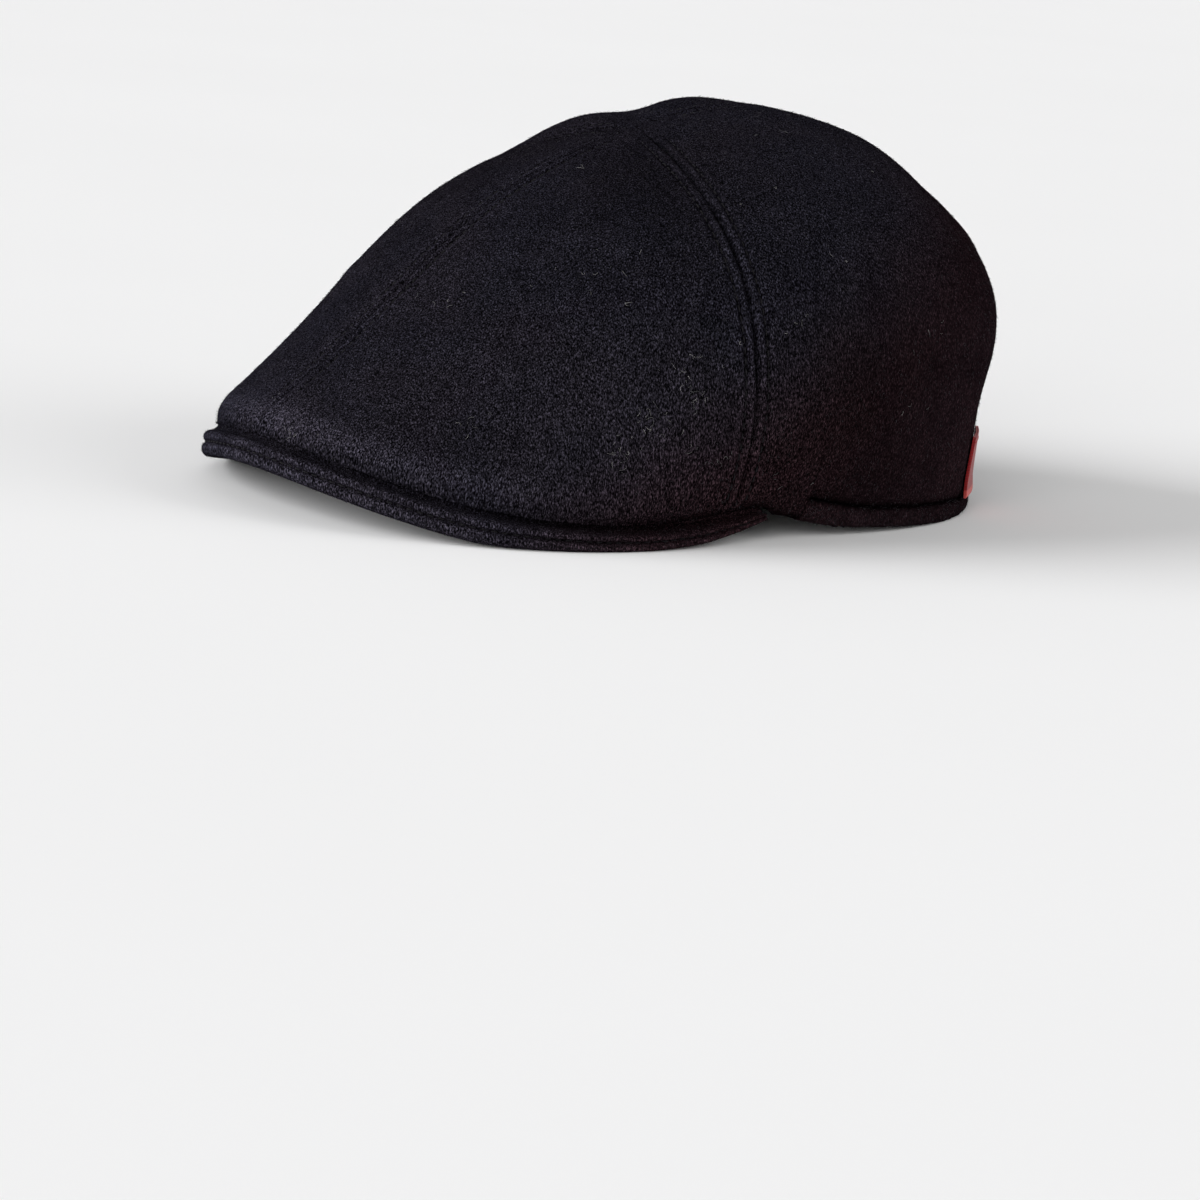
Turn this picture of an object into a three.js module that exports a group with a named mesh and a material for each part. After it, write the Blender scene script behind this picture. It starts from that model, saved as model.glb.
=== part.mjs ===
// Panelled wool flat cap: four crown panels, an arched peak, a low folded band round
// the back of the rim and a small plain tab. Millimetres, +Z up, peak towards -Y,
// the wearer's left towards +X. The cap stands on the lower edge of its band and on the
// two lowest stretches of its peak.
import * as THREE from 'three';

// ---- driving dimensions (mm, degrees) -------------------------------------------
const WALL = 2.0;              // crown cloth with its backing
const GAP = 0.3;               // clearance kept between neighbouring pieces
const APEX = { y: 6.6, z: 115.1, hole: 1.9 };   // where the four panels meet
const HOLLOW = { halfWidth: 76, halfLength: 99, y: 30.1, z: 30 };  // the hollow at the rim
const SIDE_SEAM = { top: 70.5, middle: 79.3, bottom: 78.4 };   // azimuth of the side seam
const PEAK = { end: 87.2, board: 3.4, arch: 0.0024 };  // arch: fall per mm of half width squared
const BAND = { start: 97.3, thick: 3.4, tongue: 11, tongueThick: 1.4 };
const TAB = { azimuth: 151.5, width: 24, height: 20, thick: 1.0, lift: 0.5, rise: 0.5 };
const MIDDLE_Y = 1.765;        // middle of the whole length in the crown's own frame
const CELLS = { front: 18, temple: 6, back: 14, down: 17 };  // cells across and down the panels

// Crown sections. Each row is the profile at one azimuth about the apex (0 = over the
// peak, 180 = the back). rN and zN are the distance from the apex axis and the
// height of the control points of a cubic B-spline that runs from apex to rim.
const CROWN = [
  { azimuth: 0, r1: 35.1, z1: 104.9, r2: 68.9, z2: 81.5, r3: 109.6, z3: 45.4, r4: 136.6, z4: 30.0, r5: 138.5, z5: 28.6 },
  { azimuth: 30, r1: 35.0, z1: 105.1, r2: 71.0, z2: 84.4, r3: 99.0, z3: 46.7, r4: 120.9, z4: 23.8, r5: 126.3, z5: 11.4 },
  { azimuth: 60, r1: 33.8, z1: 107.4, r2: 72.3, z2: 90.0, r3: 92.0, z3: 48.5, r4: 94.6, z4: 16.5, r5: 93.9, z5: 3.9 },
  { azimuth: 90, r1: 34.9, z1: 116.2, r2: 76.5, z2: 97.7, r3: 95.2, z3: 53.6, r4: 88.5, z4: 21.0, r5: 78.4, z5: 12.0 },
  { azimuth: 120, r1: 38.0, z1: 122.8, r2: 86.6, z2: 103.7, r3: 107.3, z3: 59.5, r4: 98.3, z4: 25.2, r5: 90.8, z5: 8.6 },
  { azimuth: 150, r1: 41.0, z1: 130.0, r2: 98.7, z2: 107.2, r3: 128.8, z3: 62.7, r4: 116.3, z4: 28.9, r5: 117.1, z5: 6.1 },
  { azimuth: 180, r1: 42.6, z1: 131.1, r2: 103.8, z2: 107.4, r3: 139.0, z3: 64.0, r4: 126.1, z4: 29.3, r5: 130.9, z5: 7.1 },
];

// Puffs (+) and dents (-) of the soft crown: where they are, how wide, and how high.
const FORM = [
  { name: 'far_seam_valley',   azimuth: -75,  t: 0.22, wide: 11, long: 0.12, height: -1.1 },
  { name: 'far_front_puff',    azimuth: -98,  t: 0.16, wide: 13, long: 0.10, height: 1.1 },
  { name: 'far_rear_fold',     azimuth: -123, t: 0.12, wide: 12, long: 0.09, height: -1.3 },
  { name: 'far_rear_puff',     azimuth: -152, t: 0.13, wide: 16, long: 0.10, height: 1.1 },
  { name: 'back_shoulder',     azimuth: 162,  t: 0.27, wide: 14, long: 0.07, height: 0.8 },
  { name: 'back_dent',         azimuth: 156,  t: 0.37, wide: 14, long: 0.07, height: -0.8 },
  { name: 'back_fullness',     azimuth: 151,  t: 0.64, wide: 22, long: 0.10, height: 0.8 },
  { name: 'back_waist',        azimuth: 150,  t: 0.83, wide: 22, long: 0.07, height: -0.8 },
  { name: 'near_front_puff',   azimuth: 40,   t: 0.22, wide: 20, long: 0.12, height: 0.8 },
  { name: 'near_rear_crease',  azimuth: 112,  t: 0.52, wide: 7,  long: 0.05, height: -0.7 },
];

// Lower edge of the panels behind the peak: how far it drops below the last control
// points. It runs down to the rim at the temple and steps up where the band begins.
const TEMPLE_DROP = [
  { azimuth: 88.2, drop: 0 },    { azimuth: 89.4, drop: 1.9 },  { azimuth: 92, drop: 2.6 },
  { azimuth: 95,   drop: 3.4 },  { azimuth: 96.9, drop: 4.2 },  { azimuth: 97.3, drop: -3.0 },
  { azimuth: 100,  drop: -2.3 }, { azimuth: 105.5, drop: -1.0 }, { azimuth: 112, drop: 0.2 },
  { azimuth: 117,  drop: 0.6 },  { azimuth: 140, drop: 0.7 },   { azimuth: 152, drop: 1.6 },
  { azimuth: 180,  drop: 1.2 },
];
// Height of the band's lower edge above the surface the cap stands on.
const BAND_FOOT = [
  { azimuth: 97.3, z: 5.6 }, { azimuth: 107, z: 3.0 }, { azimuth: 116, z: 2.0 },
  { azimuth: 126, z: 1.0 }, { azimuth: 138, z: 0 }, { azimuth: 180, z: 0 },
];

// Edge of the peak beyond the crown seam, one row for each corner of its section, from
// the seam round the padded edge to the underside. out is outwards, down is downwards.
const PEAK_EDGE = [
  { corner: 'seam',       out: -1.0, down: 0.0 },
  { corner: 'recess',     out: -1.2, down: 0.8 },
  { corner: 'shelf',      out: 0.8,  down: 1.9 },
  { corner: 'upper_roll', out: 2.2,  down: 3.3 },
  { corner: 'groove',     out: 1.6,  down: 5.1 },
  { corner: 'lower_roll', out: 2.55, down: 6.6 },
  { corner: 'lip',        out: 2.2,  down: 8.5 },
  { corner: 'foot',       out: 0.6,  down: 9.6 },
  { corner: 'heel',       out: -0.9, down: 9.3 },
  { corner: 'tuck',       out: -2.3, down: 6.8 },
];
// How deep that edge is along the peak and how far it reaches out, as shares of the
// table above, the same on both sides.
const PEAK_DEPTH = [
  { azimuth: 0,    share: 1.0,  reach: 1.0 },  { azimuth: 25,   share: 1.02, reach: 1.0 },
  { azimuth: 35,   share: 1.04, reach: 1.25 }, { azimuth: 40,   share: 0.95, reach: 1.5 },
  { azimuth: 45,   share: 0.85, reach: 1.75 }, { azimuth: 50,   share: 0.77, reach: 1.9 },
  { azimuth: 60,   share: 0.70, reach: 1.9 },  { azimuth: 72,   share: 0.63, reach: 1.7 },
  { azimuth: 80,   share: 0.49, reach: 1.35 }, { azimuth: 87.2, share: 0.28, reach: 0.9 },
];
// The edge hangs a little lower on the far side of the front: signed azimuth, drop.
const PEAK_DROOP = [
  { azimuth: -60, drop: 0 }, { azimuth: -38, drop: 0.8 }, { azimuth: -20, drop: 1.2 },
  { azimuth: -5,  drop: 0.6 }, { azimuth: 10, drop: 0.2 }, { azimuth: 25, drop: 0 },
];

// ---- curves ---------------------------------------------------------------------
const DEG = Math.PI / 180;
const lerp = (a, b, t) => a + (b - a) * t;
const clamp = (x, a, b) => Math.min(b, Math.max(a, x));
const turn = (x) => ((x + 180) % 360 + 360) % 360 - 180;
const smooth = (a, b, x) => { const t = clamp((x - a) / (b - a), 0, 1); return t * t * (3 - 2 * t); };
const table = (rows, key, value, x) => {
  if (x <= rows[0][key]) return rows[0][value];
  for (let i = 1; i < rows.length; i++) {
    if (x <= rows[i][key]) {
      return lerp(rows[i - 1][value], rows[i][value], (x - rows[i - 1][key]) / (rows[i][key] - rows[i - 1][key]));
    }
  }
  return rows[rows.length - 1][value];
};

// clamped cubic B-spline through n control values
const KNOTS = (n) => [0, 0, 0, ...Array.from({ length: n - 2 }, (_, i) => i / (n - 3)), 1, 1, 1];
function spline(values, t) {
  const n = values.length, k = KNOTS(n), x = clamp(t, 0, 1 - 1e-9);
  let s = 3;
  while (s < n - 1 && x >= k[s + 1]) s++;
  const d = [0, 1, 2, 3].map((j) => values[j + s - 3]);
  for (let r = 1; r <= 3; r++) {
    for (let j = 3; j >= r; j--) {
      const lo = k[j + s - 3], hi = k[j + 1 + s - r];
      d[j] = lerp(d[j - 1], d[j], (x - lo) / (hi - lo));
    }
  }
  return d[3];
}

// Blend of the section rows round the crown, the same on both sides.
const STEP = CROWN[1].azimuth - CROWN[0].azimuth;
function blendRows(azimuth, key) {
  const a = Math.abs((((azimuth + 180) % 360) + 360) % 360 - 180) / STEP;
  const i = Math.floor(a), f = a - i, last = CROWN.length - 1;
  const w = [(1 - f) ** 3 / 6, (3 * f ** 3 - 6 * f ** 2 + 4) / 6, (-3 * f ** 3 + 3 * f ** 2 + 3 * f + 1) / 6, f ** 3 / 6];
  return w.reduce((sum, wk, k) => {
    let row = Math.abs(i - 1 + k);
    if (row > last) row = 2 * last - row;
    return sum + wk * CROWN[row][key];
  }, 0);
}

// Point of the crown's outer surface: azimuth in degrees, t from apex (0) to rim (1).
function form(azimuth, t) {
  const r = spline([0, ...[1, 2, 3, 4, 5].map((n) => blendRows(azimuth, 'r' + n))], t);
  const z = spline([APEX.z, ...[1, 2, 3, 4, 5].map((n) => blendRows(azimuth, 'z' + n))], t);
  const p = new THREE.Vector3(Math.sin(azimuth * DEG) * r, APEX.y - Math.cos(azimuth * DEG) * r, z);
  // puffs and dents push along the line from the middle of the hollow
  const push = FORM.reduce((sum, f) => sum + f.height
    * Math.exp(-((turn(azimuth - f.azimuth) / f.wide) ** 2) - ((t - f.t) / f.long) ** 2), 0);
  return p.addScaledVector(new THREE.Vector3(p.x, p.y - HOLLOW.y, p.z - HOLLOW.z).normalize(), push);
}
function crown(azimuth, t) {
  const p = form(azimuth, t);
  p.z -= table(TEMPLE_DROP, 'azimuth', 'drop', Math.abs(turn(azimuth))) * smooth(0.84, 1, t);
  return p;
}
function crownNormal(azimuth, t) {
  const t0 = clamp(t, 0.01, 0.995), e = 0.004;
  const down = form(azimuth, t0 + e).sub(form(azimuth, t0 - e));
  const round = form(azimuth + 0.5, t0).sub(form(azimuth - 0.5, t0));
  return down.cross(round).normalize();
}
const seamAzimuth = (t) => {
  const s = 2 * t - 1;
  return SIDE_SEAM.middle + (SIDE_SEAM.bottom - SIDE_SEAM.top) / 2 * s
    + ((SIDE_SEAM.bottom + SIDE_SEAM.top) / 2 - SIDE_SEAM.middle) * s * s;
};
const rim = (azimuth) => crown(azimuth, 1);
// azimuths of the panel columns at the rim; peak and band are cut at the same ones
const between = (a, b, n) => Array.from({ length: n + 1 }, (_, j) => lerp(a, b, j / n));
const FRONT_COLUMNS = between(0, SIDE_SEAM.bottom, CELLS.front);
const REAR_COLUMNS = [
  ...between(SIDE_SEAM.bottom, 88.2, 3), ...between(89.4, 96.9, CELLS.temple - 3), ...between(BAND.start, 180, CELLS.back),
];
// how far the arched board stands above its seam, this much nearer the middle
const archRise = (xInside, xSeam) => PEAK.arch * (xSeam ** 2 - xInside ** 2);
// horizontal direction square to the rim, pointing outwards
function rimOut(azimuth) {
  const d = rim(azimuth + 1).sub(rim(azimuth - 1));
  return new THREE.Vector3(d.y, -d.x, 0).normalize();
}

// ---- closed bodies from rings of points -----------------------------------------
function body(points, triangles) {
  const g = new THREE.BufferGeometry();
  g.setAttribute('position', new THREE.Float32BufferAttribute(points.flatMap((p) => [p.x, p.y, p.z]), 3));
  g.setIndex(triangles.flat());
  g.computeVertexNormals();
  return g;
}
function signedVolume(points, triangles) {
  return triangles.reduce((v, [a, b, c]) => v + points[a].dot(points[b].clone().cross(points[c])) / 6, 0);
}
const facingOut = (points, triangles) => (signedVolume(points, triangles) < 0
  ? triangles.map(([a, b, c]) => [a, c, b]) : triangles);

// A wall between two grids of points (outer and inner), closed along its four edges.
function wall(outer, inner) {
  const rows = outer.length, cols = outer[0].length, n = rows * cols;
  const points = [...outer.flat(), ...inner.flat()], tri = [];
  const at = (i, j) => i * cols + j;
  const quad = (a, b, c, d) => tri.push([a, b, c], [a, c, d]);
  for (let i = 0; i < rows - 1; i++) {
    for (let j = 0; j < cols - 1; j++) {
      quad(at(i, j), at(i, j + 1), at(i + 1, j + 1), at(i + 1, j));
      quad(n + at(i, j), n + at(i + 1, j), n + at(i + 1, j + 1), n + at(i, j + 1));
    }
  }
  for (let j = 0; j < cols - 1; j++) {
    quad(at(0, j), n + at(0, j), n + at(0, j + 1), at(0, j + 1));
    quad(at(rows - 1, j), at(rows - 1, j + 1), n + at(rows - 1, j + 1), n + at(rows - 1, j));
  }
  for (let i = 0; i < rows - 1; i++) {
    quad(at(i, 0), at(i + 1, 0), n + at(i + 1, 0), n + at(i, 0));
    quad(at(i, cols - 1), n + at(i, cols - 1), n + at(i + 1, cols - 1), at(i + 1, cols - 1));
  }
  return body(points, facingOut(points, tri));
}

// Whether a triangle of a ring's corners walks the ring forwards.
const edgeForward = (a, b, c) => (a < b && b < c) || (b < c && c < a) || (c < a && a < b);

// A bar swept through closed sections of equal point count, capped at both ends.
function bar(sections) {
  const m = sections[0].length, points = sections.flat(), tri = [];
  for (let i = 0; i < sections.length - 1; i++) {
    for (let j = 0; j < m; j++) {
      const a = i * m + j, b = i * m + (j + 1) % m, c = a + m, d = b + m;
      tri.push([a, b, d], [a, d, c]);
    }
  }
  const cap = (s, flip) => {
    // the section lies in an upright plane: flatten it there and cut it into triangles
    const ring = sections[s];
    const middle = ring.reduce((v, p) => v.add(p), new THREE.Vector3()).divideScalar(m);
    const along = ring.map((p) => p.clone().sub(middle).setZ(0))
      .reduce((best, v) => (v.length() > best.length() ? v : best)).normalize();
    const flat = ring.map((p) => new THREE.Vector2(p.clone().sub(middle).dot(along), p.z));
    for (const [a, b, c] of THREE.ShapeUtils.triangulateShape(flat, [])) {
      const f = [a, b, c].map((k) => s * m + k);
      // match the direction that the ring is walked in by the side faces
      tri.push(edgeForward(a, b, c) === flip ? [f[0], f[2], f[1]] : f);
    }
  };
  cap(0, true);
  cap(sections.length - 1, false);
  return body(points, facingOut(points, tri));
}

// ---- crown panels ---------------------------------------------------------------
// A panel spans the azimuths between seamA(t) and seamB(t); columns gives the share of
// that span at each column. Its seam edges stand half the gap back.
function panel(seamA, seamB, columns) {
  const outer = [], inner = [];
  const first = columns[0], last = columns[columns.length - 1];
  for (let i = 0; i <= CELLS.down; i++) {
    const top = APEX.hole / 315;
    const t = top + (1 - top) * (1 - (1 - i / CELLS.down) ** 1.12);
    const atRim = i === CELLS.down;
    const a = [], b = [];
    for (const column of columns) {
      const u = (column - first) / (last - first);
      const A = seamA(t), B = seamB(t);
      const middle = crown(lerp(A, B, u), t);
      const back = (GAP / 2 + 0.12) / Math.hypot(middle.x, middle.y - APEX.y) / DEG * Math.sign(B - A);
      const azimuth = u === 0 ? A + back : u === 1 ? B - back : lerp(A, B, u);
      const p = crown(azimuth, t);
      const q = p.clone().addScaledVector(crownNormal(azimuth, t), -WALL);
      if (t > 0.93) q.z = Math.max(q.z, rim(azimuth).z);
      if (atRim) {
        // the lower edge is cut level, so that it sits on the peak or on the band
        q.copy(p).addScaledVector(rimOut(azimuth), -WALL);
        q.z = p.z + (Math.abs(azimuth) < 89 ? archRise(q.x, p.x) : 0);
      }
      a.push(p);
      b.push(q);
    }
    outer.push(a);
    inner.push(b);
  }
  return wall(outer, inner);
}

// ---- peak -----------------------------------------------------------------------
// Point of the hollow's edge in the same direction as p from its middle.
function hollowPoint(p) {
  const angle = Math.atan2(p.x / HOLLOW.halfWidth, (HOLLOW.y - p.y) / HOLLOW.halfLength);
  return new THREE.Vector3(HOLLOW.halfWidth * Math.sin(angle), HOLLOW.y - HOLLOW.halfLength * Math.cos(angle), 0);
}
// The board is a cylinder, arched across the cap; it runs from the crown seam in to the
// edge of the hollow.
function peakSection(azimuth) {
  const a = Math.abs(azimuth);
  const seat = rim(azimuth), out = rimOut(azimuth);
  const share = table(PEAK_DEPTH, 'azimuth', 'share', a), reach = table(PEAK_DEPTH, 'azimuth', 'reach', a);
  const droop = table(PEAK_DROOP, 'azimuth', 'drop', azimuth);
  const taper = 1 - smooth(60, PEAK.end, a);
  const depth = hollowPoint(seat).sub(seat).setZ(0);
  const short = out.clone().multiplyScalar(-4.5);
  depth.multiplyScalar(taper).addScaledVector(short, 1 - taper);
  const board = lerp(2.2, PEAK.board, taper);
  const points = PEAK_EDGE.map((c) => {
    const p = seat.clone().addScaledVector(out, c.out * reach);
    p.z = Math.max(0, seat.z - GAP - c.down * share - droop * smooth(0.5, 3.2, c.down));
    return p;
  });
  const over = (f) => {
    const p = seat.clone().addScaledVector(depth, f);
    p.z = seat.z - GAP + archRise(p.x, seat.x);
    return p;
  };
  const under = (f) => {
    const p = over(f);
    p.z = Math.max(0.6, p.z - board);
    return p;
  };
  points.push(under(0.3), under(0.64), under(0.97), under(1).lerp(over(1), 0.5), over(0.97), over(0.64), over(0.3));
  return points;
}
function peak() {
  const half = [...FRONT_COLUMNS.slice(1), ...REAR_COLUMNS.slice(1).filter((a) => a < PEAK.end - 0.5), PEAK.end];
  return bar([...half.map((a) => -a).reverse(), 0, ...half].map(peakSection));
}

// ---- rear band ------------------------------------------------------------------
// A folded strip below the rear panels with a tongue standing inside them.
function bandSection(azimuth) {
  const a = azimuth > 180 ? 360 - azimuth : azimuth;
  const seat = rim(azimuth), out = rimOut(azimuth);
  const top = seat.z - GAP, floor = table(BAND_FOOT, 'azimuth', 'z', a);
  const full = smooth(BAND.start, BAND.start + 12, a);
  const at = (o, z) => seat.clone().addScaledVector(out, o).setZ(z);
  const points = [
    at(-0.2, top), at(0.5, lerp(top, floor, 0.3)), at(0.5, lerp(top, floor, 0.7)), at(-0.4, floor),
    at(-BAND.thick + 0.2, floor), at(-BAND.thick - 0.5, lerp(top, floor, 0.5)),
  ];
  // tongue, up the inside of the panel
  const rise = BAND.tongue * lerp(0.3, 1, full);
  const upTo = (z) => {
    let lo = 0.6, hi = 1;
    for (let k = 0; k < 24; k++) { const m = (lo + hi) / 2; if (crown(azimuth, m).z > z) lo = m; else hi = m; }
    return lo;
  };
  const inset = (z, d) => {
    const t = upTo(z);
    return crown(azimuth, t).addScaledVector(crownNormal(azimuth, t), -d);
  };
  const near = WALL + GAP + 0.3 + 0.8 * (1 - full);
  points.push(
    inset(seat.z + rise * 0.5, near + BAND.tongueThick),
    inset(seat.z + rise, near + BAND.tongueThick),
    inset(seat.z + rise, near),
    inset(seat.z + rise * 0.5, near),
    at(-(WALL + GAP + 0.2 + 0.5 * (1 - full)), seat.z + 0.4),
    at(-(WALL + GAP + 0.2 + 0.5 * (1 - full)), top),
  );
  return points;
}
function band() {
  const clear = GAP / 83 / DEG;
  const half = REAR_COLUMNS.filter((a) => a >= BAND.start && a < 180).map((a, i) => (i ? a : a + clear));
  return bar([...half, 180, ...half.map((a) => 360 - a).reverse()].map(bandSection));
}

// ---- tab ------------------------------------------------------------------------
// A small flat tab lying on the near rear panel, just above the band.
function tab() {
  const outer = [], inner = [];
  const cols = 6, rows = 5;
  const low = rim(TAB.azimuth).z + TAB.rise;
  for (let i = 0; i <= rows; i++) {
    const a = [], b = [];
    for (let j = 0; j <= cols; j++) {
      const z = low + TAB.height * i / rows;
      let azimuth = TAB.azimuth, t = 0.9;
      for (let k = 0; k < 3; k++) {
        let lo = 0.5, hi = 1;
        for (let m = 0; m < 24; m++) { const h = (lo + hi) / 2; if (crown(azimuth, h).z > z) lo = h; else hi = h; }
        t = lo;
        const c = crown(TAB.azimuth, t), perDegree = crown(TAB.azimuth + 0.5, t).distanceTo(crown(TAB.azimuth - 0.5, t));
        azimuth = TAB.azimuth + (j / cols - 0.5) * TAB.width / perDegree;
      }
      const p = crown(azimuth, t), n = crownNormal(azimuth, t);
      a.push(p.clone().addScaledVector(n, TAB.lift + TAB.thick));
      b.push(p.clone().addScaledVector(n, TAB.lift));
    }
    outer.push(a);
    inner.push(b);
  }
  return wall(outer, inner);
}

// ---- assembly -------------------------------------------------------------------
const wool = (colour) => new THREE.MeshStandardMaterial({ color: colour, roughness: 0.95, metalness: 0, flatShading: true });
const cap = new THREE.Group();
cap.name = 'flat_cap';
const add = (name, geometry, material) => {
  const mesh = new THREE.Mesh(geometry, material);
  mesh.name = name;
  mesh.position.y = -MIDDLE_Y;
  cap.add(mesh);
};
const mirror = (f) => (t) => -f(t);
const frontSeam = () => 0, backSeam = () => 180;
add('front_panel_left', panel(frontSeam, seamAzimuth, FRONT_COLUMNS), wool(0x1d1a20));
add('front_panel_right', panel(frontSeam, mirror(seamAzimuth), FRONT_COLUMNS), wool(0x1d1a20));
add('rear_panel_left', panel(seamAzimuth, backSeam, REAR_COLUMNS), wool(0x1a1618));
add('rear_panel_right', panel(mirror(seamAzimuth), mirror(backSeam), REAR_COLUMNS), wool(0x1a1618));
add('peak', peak(), wool(0x1b191c));
add('rear_band', band(), wool(0x19161a));
add('label_tab', tab(), new THREE.MeshStandardMaterial({ color: 0x8e1d22, roughness: 0.7, metalness: 0, flatShading: true }));

export default cap;
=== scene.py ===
"""Looks of a black wool panelled flat cap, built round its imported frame. Metres, +Z up, peak towards -Y.
Shapes are worked out in millimetres from the same section tables as the frame and scaled at the end."""
import math

import bpy
import numpy as np
from mathutils import Matrix, Vector


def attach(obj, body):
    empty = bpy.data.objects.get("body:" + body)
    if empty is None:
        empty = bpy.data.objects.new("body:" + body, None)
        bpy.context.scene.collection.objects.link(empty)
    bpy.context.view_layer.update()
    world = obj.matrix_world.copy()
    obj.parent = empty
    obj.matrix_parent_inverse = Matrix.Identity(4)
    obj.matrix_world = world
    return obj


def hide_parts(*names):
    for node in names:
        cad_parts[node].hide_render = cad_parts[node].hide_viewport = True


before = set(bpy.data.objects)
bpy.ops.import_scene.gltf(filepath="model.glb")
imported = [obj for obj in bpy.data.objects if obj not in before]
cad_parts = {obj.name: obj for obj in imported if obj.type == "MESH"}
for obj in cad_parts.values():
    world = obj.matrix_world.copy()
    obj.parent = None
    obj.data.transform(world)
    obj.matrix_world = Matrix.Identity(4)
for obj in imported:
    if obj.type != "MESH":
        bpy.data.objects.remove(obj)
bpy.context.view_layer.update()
MM = 0.001
scene = bpy.context.scene

# ---- camera: the cap seen from its left front, a little above -----------------------
CAMERA = {"place": (1.06176, -0.803365, 0.23873), "azimuth": 52.6976, "elevation": 11.6426, "roll": 4.9055,
          "focal_px": 4270.3, "frame_px": 1200}


def make_camera():
    a, e, ro = (math.radians(CAMERA[k]) for k in ("azimuth", "elevation", "roll"))
    back = Vector((math.sin(a) * math.cos(e), -math.cos(a) * math.cos(e), math.sin(e)))
    right = Vector((math.cos(a), math.sin(a), 0))
    up = back.cross(right)
    x = right * math.cos(ro) + up * math.sin(ro)
    y = -right * math.sin(ro) + up * math.cos(ro)
    data = bpy.data.cameras.new("camera")
    data.sensor_width = 36
    data.lens = 36 * CAMERA["focal_px"] / CAMERA["frame_px"]
    data.clip_start, data.clip_end = 0.05, 60
    cam = bpy.data.objects.new("camera", data)
    cam.matrix_world = Matrix((
        (x.x, y.x, back.x, CAMERA["place"][0]), (x.y, y.y, back.y, CAMERA["place"][1]),
        (x.z, y.z, back.z, CAMERA["place"][2]), (0, 0, 0, 1)))
    scene.collection.objects.link(cam)
    scene.camera = cam


make_camera()

# ---- the crown's form (mm, degrees), the same tables as the frame -------------------
WALL, GAP = 2.0, 0.3
MIDDLE_Y = 1.765          # middle of the whole length in the tables' own frame
APEX_Y, APEX_Z = 6.6, 115.1
HOLLOW = np.array([0.0, 30.1, 30.0])
HOLLOW_HALF = (76.0, 99.0)
SEAM = {"top": 70.5, "middle": 79.3, "bottom": 78.4}
PEAK = {"end": 87.2, "board": 3.4, "arch": 0.0024}
BAND = {"start": 97.3, "thick": 3.4, "tongue": 11.0, "tongue_thick": 1.4}
TAB = {"azimuth": 151.5, "width": 24.0, "height": 20.0, "lift": 0.5, "rise": 0.5, "tape": 0.44, "fold": 0.12}
STEP = 30.0
ROW_R = np.array([
    [35.1, 68.9, 109.6, 136.6, 138.5], [35.0, 71.0, 99.0, 120.9, 126.3], [33.8, 72.3, 92.0, 94.6, 93.9],
    [34.9, 76.5, 95.2, 88.5, 78.4], [38.0, 86.6, 107.3, 98.3, 90.8], [41.0, 98.7, 128.8, 116.3, 117.1],
    [42.6, 103.8, 139.0, 126.1, 130.9]])
ROW_Z = np.array([
    [104.9, 81.5, 45.4, 30.0, 28.6], [105.1, 84.4, 46.7, 23.8, 11.4], [107.4, 90.0, 48.5, 16.5, 3.9],
    [116.2, 97.7, 53.6, 21.0, 12.0], [122.8, 103.7, 59.5, 25.2, 8.6], [130.0, 107.2, 62.7, 28.9, 6.1],
    [131.1, 107.4, 64.0, 29.3, 7.1]])
# puffs (+) and dents (-): azimuth, t, wide, long, height
FORM = np.array([
    [-75, .22, 11, .12, -1.1], [-98, .16, 13, .10, 1.1], [-123, .12, 12, .09, -1.3], [-152, .13, 16, .10, 1.1],
    [162, .27, 14, .07, .8], [156, .37, 14, .07, -.8], [151, .64, 22, .10, .8], [150, .83, 22, .07, -.8],
    [40, .22, 20, .12, .8], [112, .52, 7, .05, -.7]])
# how far the lower edge of the panels drops: azimuth, drop
DROP = np.array([
    [88.2, 0], [89.4, 1.9], [92, 2.6], [95, 3.4], [96.9, 4.2], [97.3, -3.0], [100, -2.3], [105.5, -1.0], [112, .2],
    [117, .6], [140, .7], [152, 1.6], [180, 1.2]])
BAND_FOOT = np.array([[97.3, 5.6], [107, 3.0], [116, 2.0], [126, 1.0], [138, 0], [180, 0]])
# along the peak: azimuth, share of that depth, share of its reach; and the far side's extra drop
PEAK_DEPTH = np.array([
    [0, 1.0, 1.0], [25, 1.02, 1.0], [35, 1.04, 1.25], [40, .95, 1.5], [45, .85, 1.75], [50, .77, 1.9],
    [60, .70, 1.9], [72, .63, 1.7], [80, .49, 1.35], [87.2, .28, .9]])
PEAK_DROOP = np.array([[-60, 0], [-38, .8], [-20, 1.2], [-5, .6], [10, .2], [25, 0]])
# the padded edge of the peak from the crown seam to the underside: out, down
PEAK_EDGE = np.array([
    [-1.3, 0.0], [-2.1, 0.45], [-2.0, 1.2], [-0.8, 1.8], [1.0, 2.1], [1.9, 2.65], [2.2, 3.4], [2.0, 4.3],
    [1.45, 4.95], [1.5, 5.3], [2.15, 5.8], [2.5, 6.6], [2.45, 7.7], [1.9, 8.8], [0.8, 9.5], [-0.5, 9.5], [-1.7, 8.5], [-2.3, 6.8]])


def turn(a):
    return (np.asarray(a, float) + 180) % 360 - 180


def smooth(a, b, x):
    t = np.clip((np.asarray(x, float) - a) / (b - a), 0, 1)
    return t * t * (3 - 2 * t)


def bump(x, width):
    return np.exp(-(np.asarray(x, float) / width) ** 2)


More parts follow.
